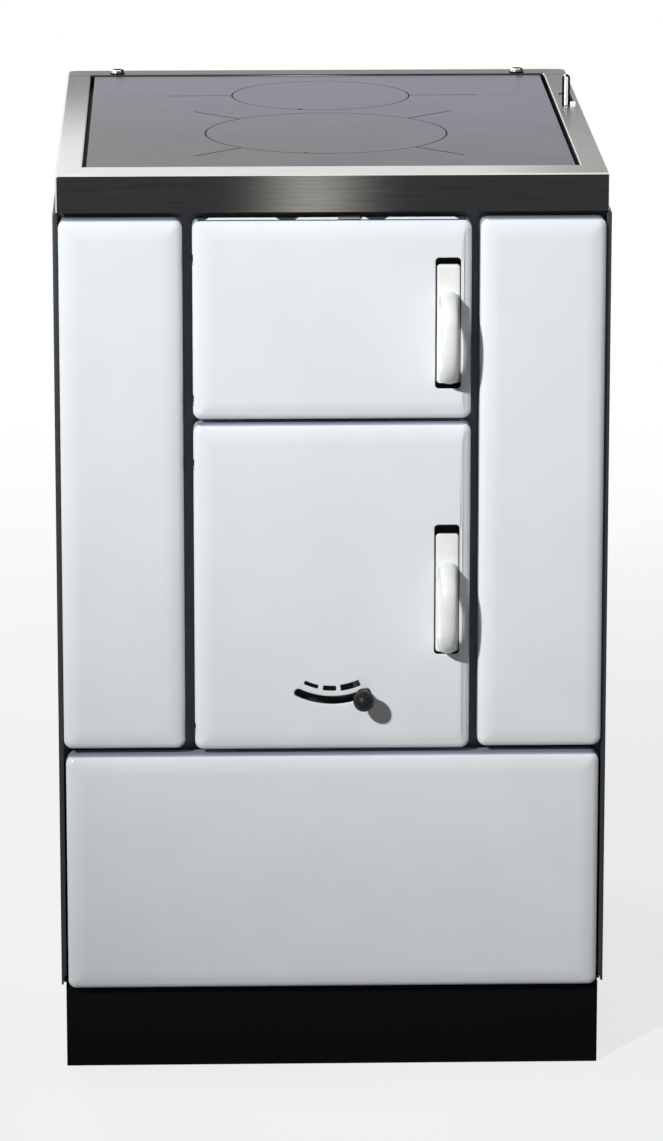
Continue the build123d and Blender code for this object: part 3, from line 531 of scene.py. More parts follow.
def castIron():
    # Grey cast iron from a sand mould, stove-blacked: coarse pebbly skin that scatters light.
    material, tree, shader, place = newMaterial("castIron", {"Roughness": 0.62, "Metallic": 0.6})
    sand = addNode(tree, "TexNoise", {"Vector": place, "Scale": 1 / ironValues["sandMm"], "Detail": 4.0,
                                      "Roughness": 0.6})
    addNode(tree, "ValToRGB", {0: sand}, shader.inputs["Base Color"], zip(lineStops, ironValues["shades"]))
    addNode(tree, "Bump", {"Height": sand, "Distance": ironValues["sandDepthMm"] * mm},
            shader.inputs["Normal"])
    return material


brickValues = {"tones": ((0.02, "#8B7658"), (0.12, "#C2AB82"), (0.5, "#D4C19A")), "grogMm": 3.5,
               "grogDepthMm": 0.25, "cloudMm": 40}


def firebrick():
    # Pressed chamotte brick: buff, granular, with darker grog specks and pores 1 to 3 mm across.
    material, tree, shader, place = newMaterial("chamotteBrick", {"Roughness": 0.95, "IOR": 1.5})
    speck = addNode(tree, "TexVoronoi", {"Vector": place, "Scale": 1 / brickValues["grogMm"]})
    cloud = addNode(tree, "TexNoise", {"Vector": place, "Scale": 1 / brickValues["cloudMm"], "Detail": 5.0})
    tone = addNode(tree, "Math", {0: speck, 1: cloud}, operation="MULTIPLY")
    addNode(tree, "ValToRGB", {0: tone}, shader.inputs["Base Color"], brickValues["tones"])
    addNode(tree, "Bump", {"Height": speck, "Distance": brickValues["grogDepthMm"] * mm},
            shader.inputs["Normal"])
    return material


zincValues = {"tones": ((0.1, "#999D9F"), (0.9, "#A9ADAF")), "spangleMm": 11, "roughness": (0.36, 0.46)}


def zincSheet():
    # Hot-dip galvanised sheet: the zinc's crystals show as pale grey facets 8 to 15 mm across.
    material, tree, shader, place = newMaterial("galvanisedSheet", {"Metallic": 1.0, "Roughness": 0.4})
    spangle = addNode(tree, "TexVoronoi", {"Vector": place, "Scale": 1 / zincValues["spangleMm"]})
    grey = addNode(tree, "SeparateColor", {0: spangle.outputs["Color"]}).outputs
    addNode(tree, "ValToRGB", {0: grey[0]}, shader.inputs["Base Color"], zincValues["tones"])
    smooth, rough = zincValues["roughness"]
    addNode(tree, "MapRange", {0: grey[1], 3: smooth, 4: rough}, shader.inputs["Roughness"])
    return material


# dark and light tone, roughness
steelValues = {
    "graphiteHeatPaint": ("#474B4E", "#515558", 0.5),   # front frame, a dull grey metal sheen
    "drawnSteel": ("#828385", "#9A9B9D", 0.3),          # rods, hooks, pins and screws
    "chromePlate": ("#E2E2E0", "#F4F4F2", 0.08),        # lever, a near mirror
    "slideSteel": ("#85878A", "#9A9CA0", 0.4),          # air slide, dulled by heat
    "paintedHighlightChrome": ("#F2F2F0", "#FAFAF8", 0.5),         # painted highlight, near white: lever stop, lit bolt facets
    "temperedSteel": ("#6E6663", "#857C78", 0.4),       # bolts and washers, browned by heat
}
dieLines = {"apartMm": 0.8, "lengthMm": 18, "depthMm": 0.01}


def drawnSteel(name, dark, light, roughness):
    # Bright drawn or turned steel: fine die lines along the bar, a thin film of oil.
    material, tree, shader, place = newMaterial(name, {"Metallic": 1.0, "Roughness": roughness})
    across, along = 1 / dieLines["apartMm"], 1 / dieLines["lengthMm"]
    grain = addNode(tree, "VectorMath", {0: place, 1: (across, across, along)}, operation="MULTIPLY")
    lines = addNode(tree, "TexNoise", {"Vector": grain, "Scale": 1.0, "Detail": 2.0})
    addNode(tree, "ValToRGB", {0: lines}, shader.inputs["Base Color"], zip(lineStops, (dark, light)))
    addNode(tree, "Bump", {"Height": lines, "Distance": dieLines["depthMm"] * mm}, shader.inputs["Normal"])
    return material


# the bands of the pattern lie a third of its repeat apart
braidValues = {"tones": ((0.1, "#6D6C68"), (0.7, "#A3A19B")), "repeatMm": 4.4, "strandDepthMm": 0.4}


def braidedGlass():
    # Braided glass-fibre rope: pale grey strands about 2 mm wide, dull, with darker gaps between them.
    material, tree, shader, place = newMaterial("braidedGlassRope", {"Roughness": 0.9, "IOR": 1.5})
    weave = addNode(tree, "TexWave", {"Vector": place, "Scale": 1 / braidValues["repeatMm"],
                                      "Distortion": 0.6, "Detail": 1.0},
                    wave_type="BANDS", bands_direction="DIAGONAL").outputs["Fac"]
    addNode(tree, "ValToRGB", {0: weave}, shader.inputs["Base Color"], braidValues["tones"])
    addNode(tree, "Bump", {"Height": weave, "Distance": braidValues["strandDepthMm"] * mm},
            shader.inputs["Normal"])
    return material


phenolicValues = {"tones": ((0.35, "#101112"), (0.7, "#1A1B1D")), "bloomMm": 6, "bloomDepthMm": 0.004}


def phenolic():
    # Phenolic ball knob, compression-moulded and tumbled: deep black gloss with a faint bloom.
    material, tree, shader, place = newMaterial("blackPhenolic", {"Roughness": 0.38, "IOR": 1.6,
                                                                  "Specular IOR Level": 0.12})
    bloom = addNode(tree, "TexNoise",
                    {"Vector": place, "Scale": 1 / phenolicValues["bloomMm"], "Detail": 3.0})
    addNode(tree, "ValToRGB", {0: bloom}, shader.inputs["Base Color"], phenolicValues["tones"])
    addNode(tree, "Bump", {"Height": bloom, "Distance": phenolicValues["bloomDepthMm"] * mm},
            shader.inputs["Normal"])
    return material


enamel, cream, knobBlack = vitreousEnamel(), creamThermoset(), phenolic()
hobSteel, iron, brick, zinc, rope = groundSteel(), castIron(), firebrick(), zincSheet(), braidedGlass()
coats = {name: powderCoat(name, *values) for name, values in coatValues.items()}
steels = {name: drawnSteel(name, *values) for name, values in steelValues.items()}
paintedReflectionTop = {"brighter": stainlessValues["topFront"], "shareOf": frontShare}
topSteel = brushedStainless("brushedStainlessTop", stainlessValues["top"], **paintedReflectionTop)
sideSteel = brushedStainless("brushedStainlessSide", stainlessValues["top"], alongY=True, **paintedReflectionTop)
bendSteel = brushedStainless("stainlessBendPaintedHighlight", stainlessValues["bend"],
                             stainlessValues["bendRoughness"])
rearSteel = brushedStainless("brushedStainlessRear", stainlessValues["rear"])
frontSteel = brushedStainless("brushedStainlessFront", stainlessValues["front"],
                              brighter=stainlessValues["patch"], shareOf=paintedSheenShare)
print("materials made")


# pieces of the frame that are shown as they are, by finish
finishOfNode = {
    steels["graphiteHeatPaint"]: ("front_frame",),
    coats["stoveBlackPaint"]: ("base_plate", "hinge_brackets", "panel_clips", "latch_keepers",
                               "inner_walls", "inner_rear_wall", "ash_floor", "hob_support_frame",
                               "damper_frame", "damper_flap"),
    zinc: ("drawer_box", "drawer_runners", "ash_box"),
    iron: ("grate_frame",),
    brick: ("firebrick_left", "firebrick_right", "firebrick_rear", "firebrick_front"),
    rope: ("hob_seal",),
    steels["drawnSteel"]: ("hinge_pins", "fuel_latch_hook", "ash_latch_hook", "air_lever", "air_shutter",
                           "damper_shaft", "damper_bushes", "grate_rod", "ash_box_bow"),
}
# pieces whose edges are softened: finishes, slot, width of the broken edge in mm
softenedNodes = {
    "plinth": ([coats["plinthBlackPaint"]], "black_paint", 0.8),
    "fuel_door_inner": ([iron], "cast_iron", 1.5),
    "ash_door_inner": ([iron], "cast_iron", 1.5),
    "grate": ([iron], "cast_iron", 1.0),
    "log_guard": ([iron], "cast_iron", 1.5),
    "flue_collar": ([iron], "cast_iron", 1.2),
    "rear_panel": ([coats["stoveBlackPaint"]], "black_paint", 0.4),
    # the broken edges of the side sheets are painted near black, a painted shade
    "left_side": ([coats["charcoalPowderCoat"], coats["paintedShadeBlack"]], "black_paint", 0.9),
    "right_side": ([coats["charcoalPowderCoat"], coats["paintedShadeBlack"]], "black_paint", 0.9),
}


def finishNodes():
    for material, names in finishOfNode.items():
        for name in names:
            mesh = nodes[name].data
            if not mesh.materials:
                mesh.materials.append(material)
            for index in range(len(mesh.materials)):
                mesh.materials[index] = material
    print("carried-over nodes finished")


def softened(name, node, materials, slot, width, picks=None):
    # the node's own shape with its sharp edges broken, or only those that picks chooses; with three
    # materials they are the flat top, the broken edges and the walls
    bm = bmesh.new()
    bm.from_mesh(nodes[node].data)
    bmesh.ops.remove_doubles(bm, verts=bm.verts, dist=0.02 * mm)
    bmesh.ops.dissolve_limit(bm, angle_limit=math.radians(1), verts=bm.verts, edges=bm.edges)
    bmesh.ops.scale(bm, vec=(1000, 1000, 1000), verts=bm.verts)
    top = max(v.co.z for v in bm.verts)
    edges = [e for e in bm.edges if len(e.link_faces) == 2 and e.calc_face_angle() > math.radians(40)
             and (picks is None or picks(e, top))]
    if edges:
        bmesh.ops.bevel(bm, geom=edges, offset=width, segments=1 if picks else 2, profile=0.5,
                        affect="EDGES", clamp_overlap=True, material=1 if len(materials) > 1 else -1)
    for face in bm.faces:
        if len(materials) > 2 and face.material_index == 0:
            flat = face.normal.z > 0.9 and face.calc_center_median().z > top - 0.1
            face.material_index = 0 if flat else 2
    obj = makeObject(name, bm, materials, weighted=False)
    for polygon in obj.data.polygons:
        if polygon.normal.z > 0.999 and len(materials) > 2:
            polygon.use_smooth = False
    standFor(obj, nodes[node]["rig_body"], slot, node)


def makeSoftened():
    for node, (materials, slot, width) in softenedNodes.items():
        softened(node + "_soft_edged", node, materials, slot, width)
    print("softened pieces made")


def makeHob():
    # ground on top, a painted highlight on the edge all round, and painted shade on the walls that the
    # rings and slots show
    low, high = boxMm("hob_plate")

    def outerTop(edge, top):
        ends = [v.co for v in edge.verts]
        onSide = any(abs(ends[0][axis] - side[axis]) < 0.2 and abs(ends[1][axis] - side[axis]) < 0.2
                     for axis in (0, 1) for side in (low, high))
        return onSide and min(v.z for v in ends) > top - 0.1

    materials = [hobSteel, coats["paintedHighlightEdge"], coats["paintedShadeBlack"]]
    for node in ("hob_plate", "big_cover", "small_cover"):
        softened(node + "_ground", node, materials, "hob_steel", hobValues["edge"],
                 outerTop if node == "hob_plate" else lambda edge, top: False)
    print("hob made")


skinValues = {
    "corner": 8.0,          # corner radius seen from the front
    "edgeBend": 3.0,        # radius where the edge turns back
    "softBend": 9.5,        # and of the softer rounding in front of it
    "bendTurn": 36,         # degrees that the first of them turns
    "crownWide": 12.0,      # inside the bend the face still rises a little towards the middle
    "crownDeep": 1.7,
    "crownCorner": 3.0,     # and its corners get this much rounder
    "narrowCrown": 3.6,     # where an opening lies close to the edge
    "bendSteps": 6,
    "crownSteps": 6,
    "sheet": 1.4,
    "inner": 3.2,           # depth of the sheet's turned-in edge at an opening
    "notch": ((-1, 6), -301, (-3, 7)),      # cut for a hinge: from the left edge, front, round its height
}
# body, heights of the hinges, the painted shadow along the top edge, where the rim and the piece above
# shade the rolled edge, and how far down, in mm
skinPieces = {
    "left_panel": ("stove_body", (), "enamelPaintedShadowBlue", 1.0),
    "right_panel": ("stove_body", (), "enamelPaintedShadowBlue", 1.0),
    "drawer_front": ("drawer", (), "enamelPaintedShadowBlue", 1.3),
    "fuel_door_skin": ("fuel_door", (640, 770), "enamelPaintedShadowDark", 0.8),
    "ash_door_skin": ("ash_door", (330, 580), "enamelPaintedShadowBlue", 1.0),
}
# the arc slot and the marks over it, in mm and degrees from straight down
airValues = {
    "pivot": (0.0, 431.0),
    "radius": 71.6,
    "halfWidth": 3.6,
    "sweep": 28.9,
    "roll": 1.8,
    "markRadius": 60.0,
    "marks": ((-25.8, -12.8, 1.8), (-8.6, 3.0, 2.35), (6.9, 24.4, 2.95)),
    "markRoll": 0.3,
    "markCorner": 0.9,
}
openingValues = {"width": 23.0, "shift": -0.3, "corner": 3.5, "roll": 1.0,
                 "fuel_door_skin": ("fuel_handle_plate", (652.8, 773.7)),
                 "ash_door_skin": ("ash_handle_plate", (402.9, 525.2))}
topSlotValues = {"pitch": 81.0, "length": 60.0, "middle": -0.5, "y": (-297.0, -288.0), "corner": 4.0,
                 "front": (-299.2, 808.2), "lip": (-296.9, 809.8), "slant": 3.5, "sheet": 0.9}
tabValues = {"top": 811.0, "corner": 0.2,
             "hook": (((-300.4, -296.5), (809.95, 811.0)), ((-300.4, -299.5), (808.6, 811.0)))}


def arcOpening(radius, halfWidth, start, end, corner):
    # a bar bent along a circle below the pivot, its four corners rounded, as an outline that can grow
    def outlineOf(grow):
        width = halfWidth + grow
        bend = min(corner + grow, width)
        a, b = math.radians(start) - grow / radius, math.radians(end) + grow / radius
        points = []
        for side, first, last in ((1, a, b), (-1, b, a)):
            step = math.copysign(bend / radius, last - first)
            points += [(radius + side * width, first + step + (last - first - 2 * step) * k / 16)
                       for k in range(17)]
            turns = quarter(6)[1:-1]
            points += [(radius + side * (width - bend + bend * math.cos(turn)),
                        last - step + step * math.sin(turn)) for turn in turns]
            if bend < width:
                points += [(radius + side * (width - bend), last), (radius - side * (width - bend), last)]
            else:
                points.append((radius, last))
            points += [(radius - side * (width - bend + bend * math.sin(turn)),
                        last - step + step * math.cos(turn)) for turn in turns]
        x, z = airValues["pivot"]
        return [(x + reach * math.sin(angle), z - reach * math.cos(angle)) for reach, angle in points]
    return outlineOf


def skinProfile():
    # (inset, share of the crown, depth behind the face) from the flange round the bend to the flat face
    edge, soft, steps = skinValues["edgeBend"], skinValues["softBend"], skinValues["bendSteps"]
    wide, deep = skinValues["crownWide"], skinValues["crownDeep"]
    change, end = math.radians(skinValues["bendTurn"]), math.pi / 2 - math.atan(2 * deep / wide)
    middle = (edge * (1 - math.cos(change)), deep + soft * (math.sin(end) - math.sin(change)))
    points = []
    for k in range(steps):
        turn = change * k / steps
        depth = middle[1] + edge * (math.sin(change) - math.sin(turn))
        points.append((edge * (1 - math.cos(turn)), 0.0, depth))
    for k in range(steps + 1):
        turn = change + (end - change) * k / steps
        points.append((middle[0] + soft * (math.cos(change) - math.cos(turn)), 0.0,
                       deep + soft * (math.sin(end) - math.sin(turn))))
    inset = points[-1][0]
    for k in range(1, skinValues["crownSteps"] + 1):
        share = k / skinValues["crownSteps"]
        points.append((inset, share, deep * (1 - share) ** 2))
    return points


def pressedSkin(node, openings, topEdgeShadow, edgeHeight):
    # a deep-drawn steel tray: crowned face, turned edges, flanges going back, openings with rolled rims
    low, high = boxMm(node)
    face, corner, wide = low.y, skinValues["corner"], skinValues["crownWide"]
    crownRight = skinValues["narrowCrown"] if openings else wide
    outlines = [atDepth(roundedRect((low.x, high.x), (low.z, high.z), corner), high.y)]
    for inset, share, depth in skinProfile():
        crown = inset + share * wide
        outline = roundedRect((low.x + crown, high.x - inset - share * crownRight),
                              (low.z + crown, high.z - crown),
                              corner - inset + skinValues["crownCorner"] * share)
        outlines.append(atDepth(outline, face + depth))
    bm = bmesh.new()
    borders = [loft(bm, outlines, "open")[-1]]
    for opening, roll in openings:
        outlines = [atDepth(opening(roll * (1 - math.sin(turn))), face + roll * (1 - math.cos(turn)))
                    for turn in quarter(4)]
        rings = loft(bm, outlines + [atDepth(opening(0), face + skinValues["inner"])], "open")
        # the walls of each opening are painted dark, a painted shade
        for vert in rings[-1]:
            for wall in vert.link_faces:
                wall.material_index = 1
        borders.append(rings[0])
    edges = []
    for border in borders:
        for pair in zip(border, border[1:] + border[:1]):
            edges.append(bm.edges.get(pair) or bm.edges.new(pair))
    bmesh.ops.triangle_fill(bm, use_beauty=True, use_dissolve=False, edges=edges, normal=(0, -1, 0))
    skin = makeObject(node + "_enamel", bm, [enamel, coats["openingPaintedShade"], coats[topEdgeShadow]], weighted=False)
    if max(skin.data.polygons, key=lambda polygon: polygon.area).normal.y > 0:
        skin.data.flip_normals()
    # a band along the top edge is painted as the shadow that falls there
    for polygon in skin.data.polygons:
        if polygon.center.z / mm > high.z - edgeHeight and polygon.material_index == 0:
            polygon.material_index = 2
    shell = skin.modifiers.new("sheet", "SOLIDIFY")
    shell.thickness = skinValues["sheet"] * mm
    shell.offset = -1
    finishShading(skin)
    return skin


def openingsOf(node):
    # each opening's outline, which can grow, and the radius of its rolled rim
    if node not in openingValues:
        return []
    plateNode, span = openingValues[node]
    low, high = boxMm(plateNode)
    middle, half = (low.x + high.x) / 2 + openingValues["shift"], openingValues["width"] / 2
    openings = [(lambda grow: roundedRect((middle - half, middle + half), span,
                                          openingValues["corner"], grow, 6), openingValues["roll"])]
    if node == "ash_door_skin":
        openings.append((arcOpening(airValues["radius"], airValues["halfWidth"], -airValues["sweep"],
                                    airValues["sweep"], airValues["halfWidth"]), airValues["roll"]))
        openings += [(arcOpening(airValues["markRadius"], halfWidth, start, end, airValues["markCorner"]),
                      airValues["markRoll"]) for start, end, halfWidth in airValues["marks"]]
    return openings


def topSlotSpans():
    half = topSlotValues["length"] / 2
    middles = [topSlotValues["middle"] + k * topSlotValues["pitch"] for k in (-1, 0, 1)]
    return [(middle - half, middle + half) for middle in middles]


def addTopLips(skin):
    # in front of each air slot the sheet is pressed up into a sloping lip with slanted ends
    front, lip, slant, sheet = (topSlotValues[key] for key in ("front", "lip", "slant", "sheet"))
    section = (((front[0] - 0.5, front[1] - 0.9), slant), (front, slant), (lip, 0.0),
               ((lip[0] + 0.3, lip[1] - sheet), 0.0), ((front[0] + 1.4, front[1] - sheet - 0.9), slant))
    bm = bmesh.new()
    bm.from_mesh(skin.data)
    for low, high in topSlotSpans():
        rings = [[bm.verts.new((x * mm, y * mm, z * mm)) for x in (low - grow, high + grow)]
                 for (y, z), grow in section]
        for i, (a, b) in enumerate(zip(rings, rings[1:] + rings[:1])):
            # the face under each lip carries the painted shadow line
            bm.faces.new((a[0], b[0], b[1], a[1])).material_index = 2 if i == 0 else 0
        bm.faces.new([ring[0] for ring in rings])
        bm.faces.new([ring[1] for ring in reversed(rings)])
    bm.to_mesh(skin.data)
    bm.free()
    finishShading(skin, weighted=False)


def makeSkins():
    for node, (body, hinges, topEdgeShadow, edgeHeight) in skinPieces.items():
        skin = pressedSkin(node, openingsOf(node), topEdgeShadow, edgeHeight)
        low, high = boxMm(node)
        cutters = []
        if node == "fuel_door_skin":
            cutters = [cutterBox(span, topSlotValues["y"], (high.z - 4, high.z + 1),
                                 topSlotValues["corner"])
                       for span in topSlotSpans()]
        across, front, up = skinValues["notch"]
        for z in hinges:
            cutters.append(cutterBox((low.x + across[0], low.x + across[1]), (front, high.y + 1),
                                     (z + up[0], z + up[1])))
        if cutters:
            cut(skin, cutters)
        if node == "fuel_door_skin":
            addTopLips(skin)
        standFor(skin, body, "white_enamel", node)
    print("enamelled skins made")


def makeAirSlide():
    # the slide itself, with a thumb tab that hooks forward over the lip of the door's top edge
    node = nodes["secondary_air_slide"]
    tab = [v.co.x / mm for v in node.data.vertices if v.co.z / mm > tabValues["top"]]
    hook = [cutterBox((min(tab), max(tab)), y, z, tabValues["corner"], "X") for y, z in tabValues["hook"]]
    bm = joinedInMm([node.data], hook)
    for vert in bm.verts:
        vert.co.z = min(vert.co.z, tabValues["top"])
    slide = makeObject("secondary_air_slide_hooked", bm, steels["slideSteel"], weighted=False)
    standFor(slide, node["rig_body"], "plain_steel", "secondary_air_slide")
    print("air slide made")


gripValues = {
    "width": 14.6,
    "rootWidth": 18.0,
    "flare": 24.0,           # mm in front of the plate where the grip has come down to its width
    "stations": 72,
    "sectionSteps": 20,
    "squareness": 2.25,      # 2 is an ellipse, more is fuller at the corners
    # side view: (mm in front of the plate, mm above the plate's foot), outer line then inner line,
    # both starting at the middle of the foot and running out, up and back
    "outer": ((-1.5, 2), (8, 2), (17, 3.2), (25, 7.5), (31, 14), (35.2, 23), (37.5, 34), (38.7, 46),
              (38.7, 56), (36.8, 66), (31, 75), (21, 81.5), (8, 84.4), (-1.5, 84.4), (-1.5, 60),
              (-1.5, 28)),
    "inner": ((4.2, 20), (7.5, 17.4), (12.5, 16.8), (18.5, 18.5), (23.2, 22.5), (26.6, 28.5), (28.8, 36),
              (30, 46), (29.9, 55), (27.8, 62.5), (23.2, 68.3), (16.5, 71.4), (9, 72.2), (4.8, 69.5),
              (3.6, 60), (3.6, 30)),
}
plateValues = {
    "corner": 3.2,
    "edge": 1.6,                        # radius of the front edge
    "edgeBehind": 0.25,                 # mm that this edge lies behind the middle of the face
    "face": ((3.0, 0.1), (6.0, 0.0)),   # mm in from the edge, mm behind the middle
}


def smoothLoop(points, count):
    # closed Catmull-Rom curve through the points
    size = len(points)
    result = []
    for k in range(count):
        t = k * size / count
        i, f = int(t), t - int(t)
        p0, p1, p2, p3 = (Vector(points[(i + d) % size]) for d in (-1, 0, 1, 2))
        result.append(0.5 * ((2 * p1) + (p2 - p0) * f + (2 * p0 - 5 * p1 + 4 * p2 - p3) * f * f
                             + (3 * p1 - p0 - 3 * p2 + p3) * f ** 3))
    return result


def superPoint(angle, power):
    c, s = math.cos(angle), math.sin(angle)
    return (math.copysign(abs(c) ** (2 / power), c), math.copysign(abs(s) ** (2 / power), s))


def makeGrip(node, plateNode, body):
    low, high = boxMm(plateNode)
    middle, steps = (low.x + high.x) / 2, gripValues["sectionSteps"]
    section = [superPoint(math.tau * k / steps, gripValues["squareness"]) for k in range(steps)]
    outlines = []
    for out, inn in zip(smoothLoop(gripValues["outer"], gripValues["stations"]),
                        smoothLoop(gripValues["inner"], gripValues["stations"])):
        centre, half = (out + inn) / 2, (out - inn) / 2
        near = max(0.0, 1 - centre.x / gripValues["flare"])
        width = (gripValues["width"] + (gripValues["rootWidth"] - gripValues["width"]) * near) / 2
        points = [(centre + half * a, b) for a, b in section]
        outlines.append([(middle + width * b, low.y - p.x, low.z + p.y) for p, b in points])
    bm = bmesh.new()
    loft(bm, outlines, "joined")
    grip = makeObject(node + "_moulded", bm, cream, 60, weighted=False)
    smoother = grip.modifiers.new("smooth", "SUBSURF")
    smoother.levels = smoother.render_levels = 1
    standFor(grip, body, "handle_cream", node)


def makeHandlePlate(node, body):
    low, high = boxMm(node)
    edge = plateValues["edge"]
    levels = [(0.0, high.y)]
    levels += [(edge * (1 - math.cos(turn)),
                low.y + edge * (1 - math.sin(turn)) + plateValues["edgeBehind"])
               for turn in quarter(6)]
    levels += [(inset, low.y + behind) for inset, behind in plateValues["face"]]
    bm = bmesh.new()
    loft(bm, [atDepth(roundedRect((low.x, high.x), (low.z, high.z), plateValues["corner"], -inset), y)
              for inset, y in levels])
    standFor(makeObject(node + "_moulded", bm, cream, 50), body, "handle_cream", node)


def makeHandles():
    for body in ("fuel_handle", "ash_handle"):
        makeHandlePlate(body + "_plate", body)
        makeGrip(body + "_grip", body + "_plate", body)
    print("handles made")


knobValues = {"ball": 9.7, "neck": 6.8, "middle": 9.8, "steps": 26, "seamStep": 16, "seam": 0.06,
              "sides": 40}


def makeKnob():
    low, high = boxMm("air_knob")
    centre = Vector(((low.x + high.x) / 2, low.y + knobValues["middle"], (low.z + high.z) / 2))
    ball, neck, steps = knobValues["ball"], knobValues["neck"], knobValues["steps"]
    profile = []
    for k in range(steps + 1):      # from the front pole round to the neck
        turn = math.pi - (math.pi - math.asin(neck / ball)) * k / steps
        seam = knobValues["seam"] if k == knobValues["seamStep"] else 0.0
        profile.append((max(ball * math.sin(turn) + seam, 0.05), ball * math.cos(turn)))
    end = high.y - centre.y
    profile += [(neck - 0.2, end - 1.6), (neck, end - 0.6), (neck - 0.5, end)]
    bm = bmesh.new()
    lathe(bm, profile, Matrix.Translation(centre) @ Matrix.Rotation(math.radians(-90), 4, "X"),
          knobValues["sides"])
    standFor(makeObject("air_knob_ball", bm, knobBlack, 50), "air_control", "black_knob", "air_knob")
    print("air knob made")


rimValues = {
    "bend": 2.2,             # outer bend radius of the folded edge
    "lipBend": 1.6,          # bend down to the hob plate
    "frontCorner": 2.0,      # vertical corners, welded and linished
    "rearCorner": 9.0,
    "innerCorner": 1.0,
    "inner": (-226.5, 226.5, -258.5, 269.5),    # the opening for the hob plate
    "hem": 1.2,              # thickness of the edge seen from below
    "lipDepth": 9.0,
    "wall": 2.0,
    "top": 3.0,
    "joint": 265.2,
    "jointGap": 1.3,
    "leverSlot": ((233.2, 244.6), (70, 146.3), 1.5),
    "frontUntil": -290,      # mm: ends of the borders, for the direction of their grain
    "leftUntil": -240,
    "rightFrom": 200,
    "rearFrom": 262,
    "sidesFrom": 226.6,
}


def makeRim():
    low, high = boxMm("top_rim")
    outer = (low.x, high.x, low.y, boxMm("rim_rear_strip")[1].y)
    top, bottom, bend, lip = high.z, low.z, rimValues["bend"], rimValues["lipBend"]
    depth, wall, thick = top - rimValues["lipDepth"], rimValues["wall"], top - rimValues["top"]
    corners = (rimValues["rearCorner"],) * 2 + (rimValues["frontCorner"],) * 2
    # the section in (inset, height): up the outside and over, down at the hob plate, back underneath
    outside = [(rimValues["hem"], bottom), (0.0, bottom + 0.2)]
    outside += [(bend * (1 - math.cos(turn)), top - bend * (1 - math.sin(turn))) for turn in quarter(5)]
    inside = [(-lip * (1 - math.sin(turn)), top - lip * (1 - math.cos(turn))) for turn in quarter(5)]
    inside += [(0.0, depth), (-wall, depth), (-wall, thick)]
    under = [(wall, thick), (wall, bottom + 0.6)]
    outlines = []
    for box, radii, section in ((outer, corners, outside),
                                (rimValues["inner"], rimValues["innerCorner"], inside),
                                (outer, corners, under)):
        for inset, z in section:
            outlines.append(atHeight(roundedRect(box[:2], box[2:], radii, -inset, least=0.3), z))
    bm = bmesh.new()
    loft(bm, outlines, "joined")
    bmesh.ops.recalc_face_normals(bm, faces=bm.faces)
    for node, front in (("top_rim", True), ("rim_rear_strip", False)):
        half = bm.copy()
        y = rimValues["joint"] + (-1 if front else 1) * rimValues["jointGap"] / 2
        result = bmesh.ops.bisect_plane(half, geom=half.verts[:] + half.edges[:] + half.faces[:],
                                        plane_co=(0, y, 0), plane_no=(0, 1, 0), clear_outer=front,
                                        clear_inner=not front)
        edges = [e for e in result["geom_cut"] if isinstance(e, bmesh.types.BMEdge)]
        bmesh.ops.edgenet_fill(half, edges=edges)
        piece = makeObject(node + "_brushed", half,
                           [topSteel, sideSteel, frontSteel, bendSteel, rearSteel], 40)
        paintRim(piece)
        if front:
            x, y, corner = rimValues["leverSlot"]
            cut(piece, [cutterBox(x, y, (top - 12, top + 2), corner)])
        standFor(piece, "stove_body", "brushed_rim", node)
    bm.free()
    print("rim made")


def paintRim(piece):
    # the grain runs level on the front and rear borders and front to back on the side borders
    # bends and the front-left corner get the painted highlight, the front strip its painted dark
    # reflection, the rear strip a darker painted reflection
    for polygon in piece.data.polygons:
        centre, normal = polygon.center * 1000, polygon.normal
        atFront = centre.y < rimValues["frontUntil"]
        facesFront = normal.y < -0.3 and atFront
        facesLeft = normal.x < -0.3 and (centre.x < rimValues["leftUntil"]
                                         or centre.x > rimValues["rightFrom"])
        corner = -0.95 < normal.x < -0.3 and normal.y < -0.2 and atFront
        onSide = abs(centre.x) > rimValues["sidesFrom"]
        if (0.25 < normal.z < 0.97 and (facesFront or facesLeft)) or corner:
            polygon.material_index = 3
        elif normal.y < -0.75:
            polygon.material_index = 2
        elif centre.y > rimValues["rearFrom"] and not onSide:
            polygon.material_index = 4
        else:
            polygon.material_index = 1 if onSide else 0


boltValues = {"x": 200.0, "y": 279.0, "bore": 3.0, "washer": 7.4, "washerTop": 1.2, "across": 11.0,
              "headTop": 4.1, "chamfer": 0.9, "turn": 12, "cornerTurn": 4}


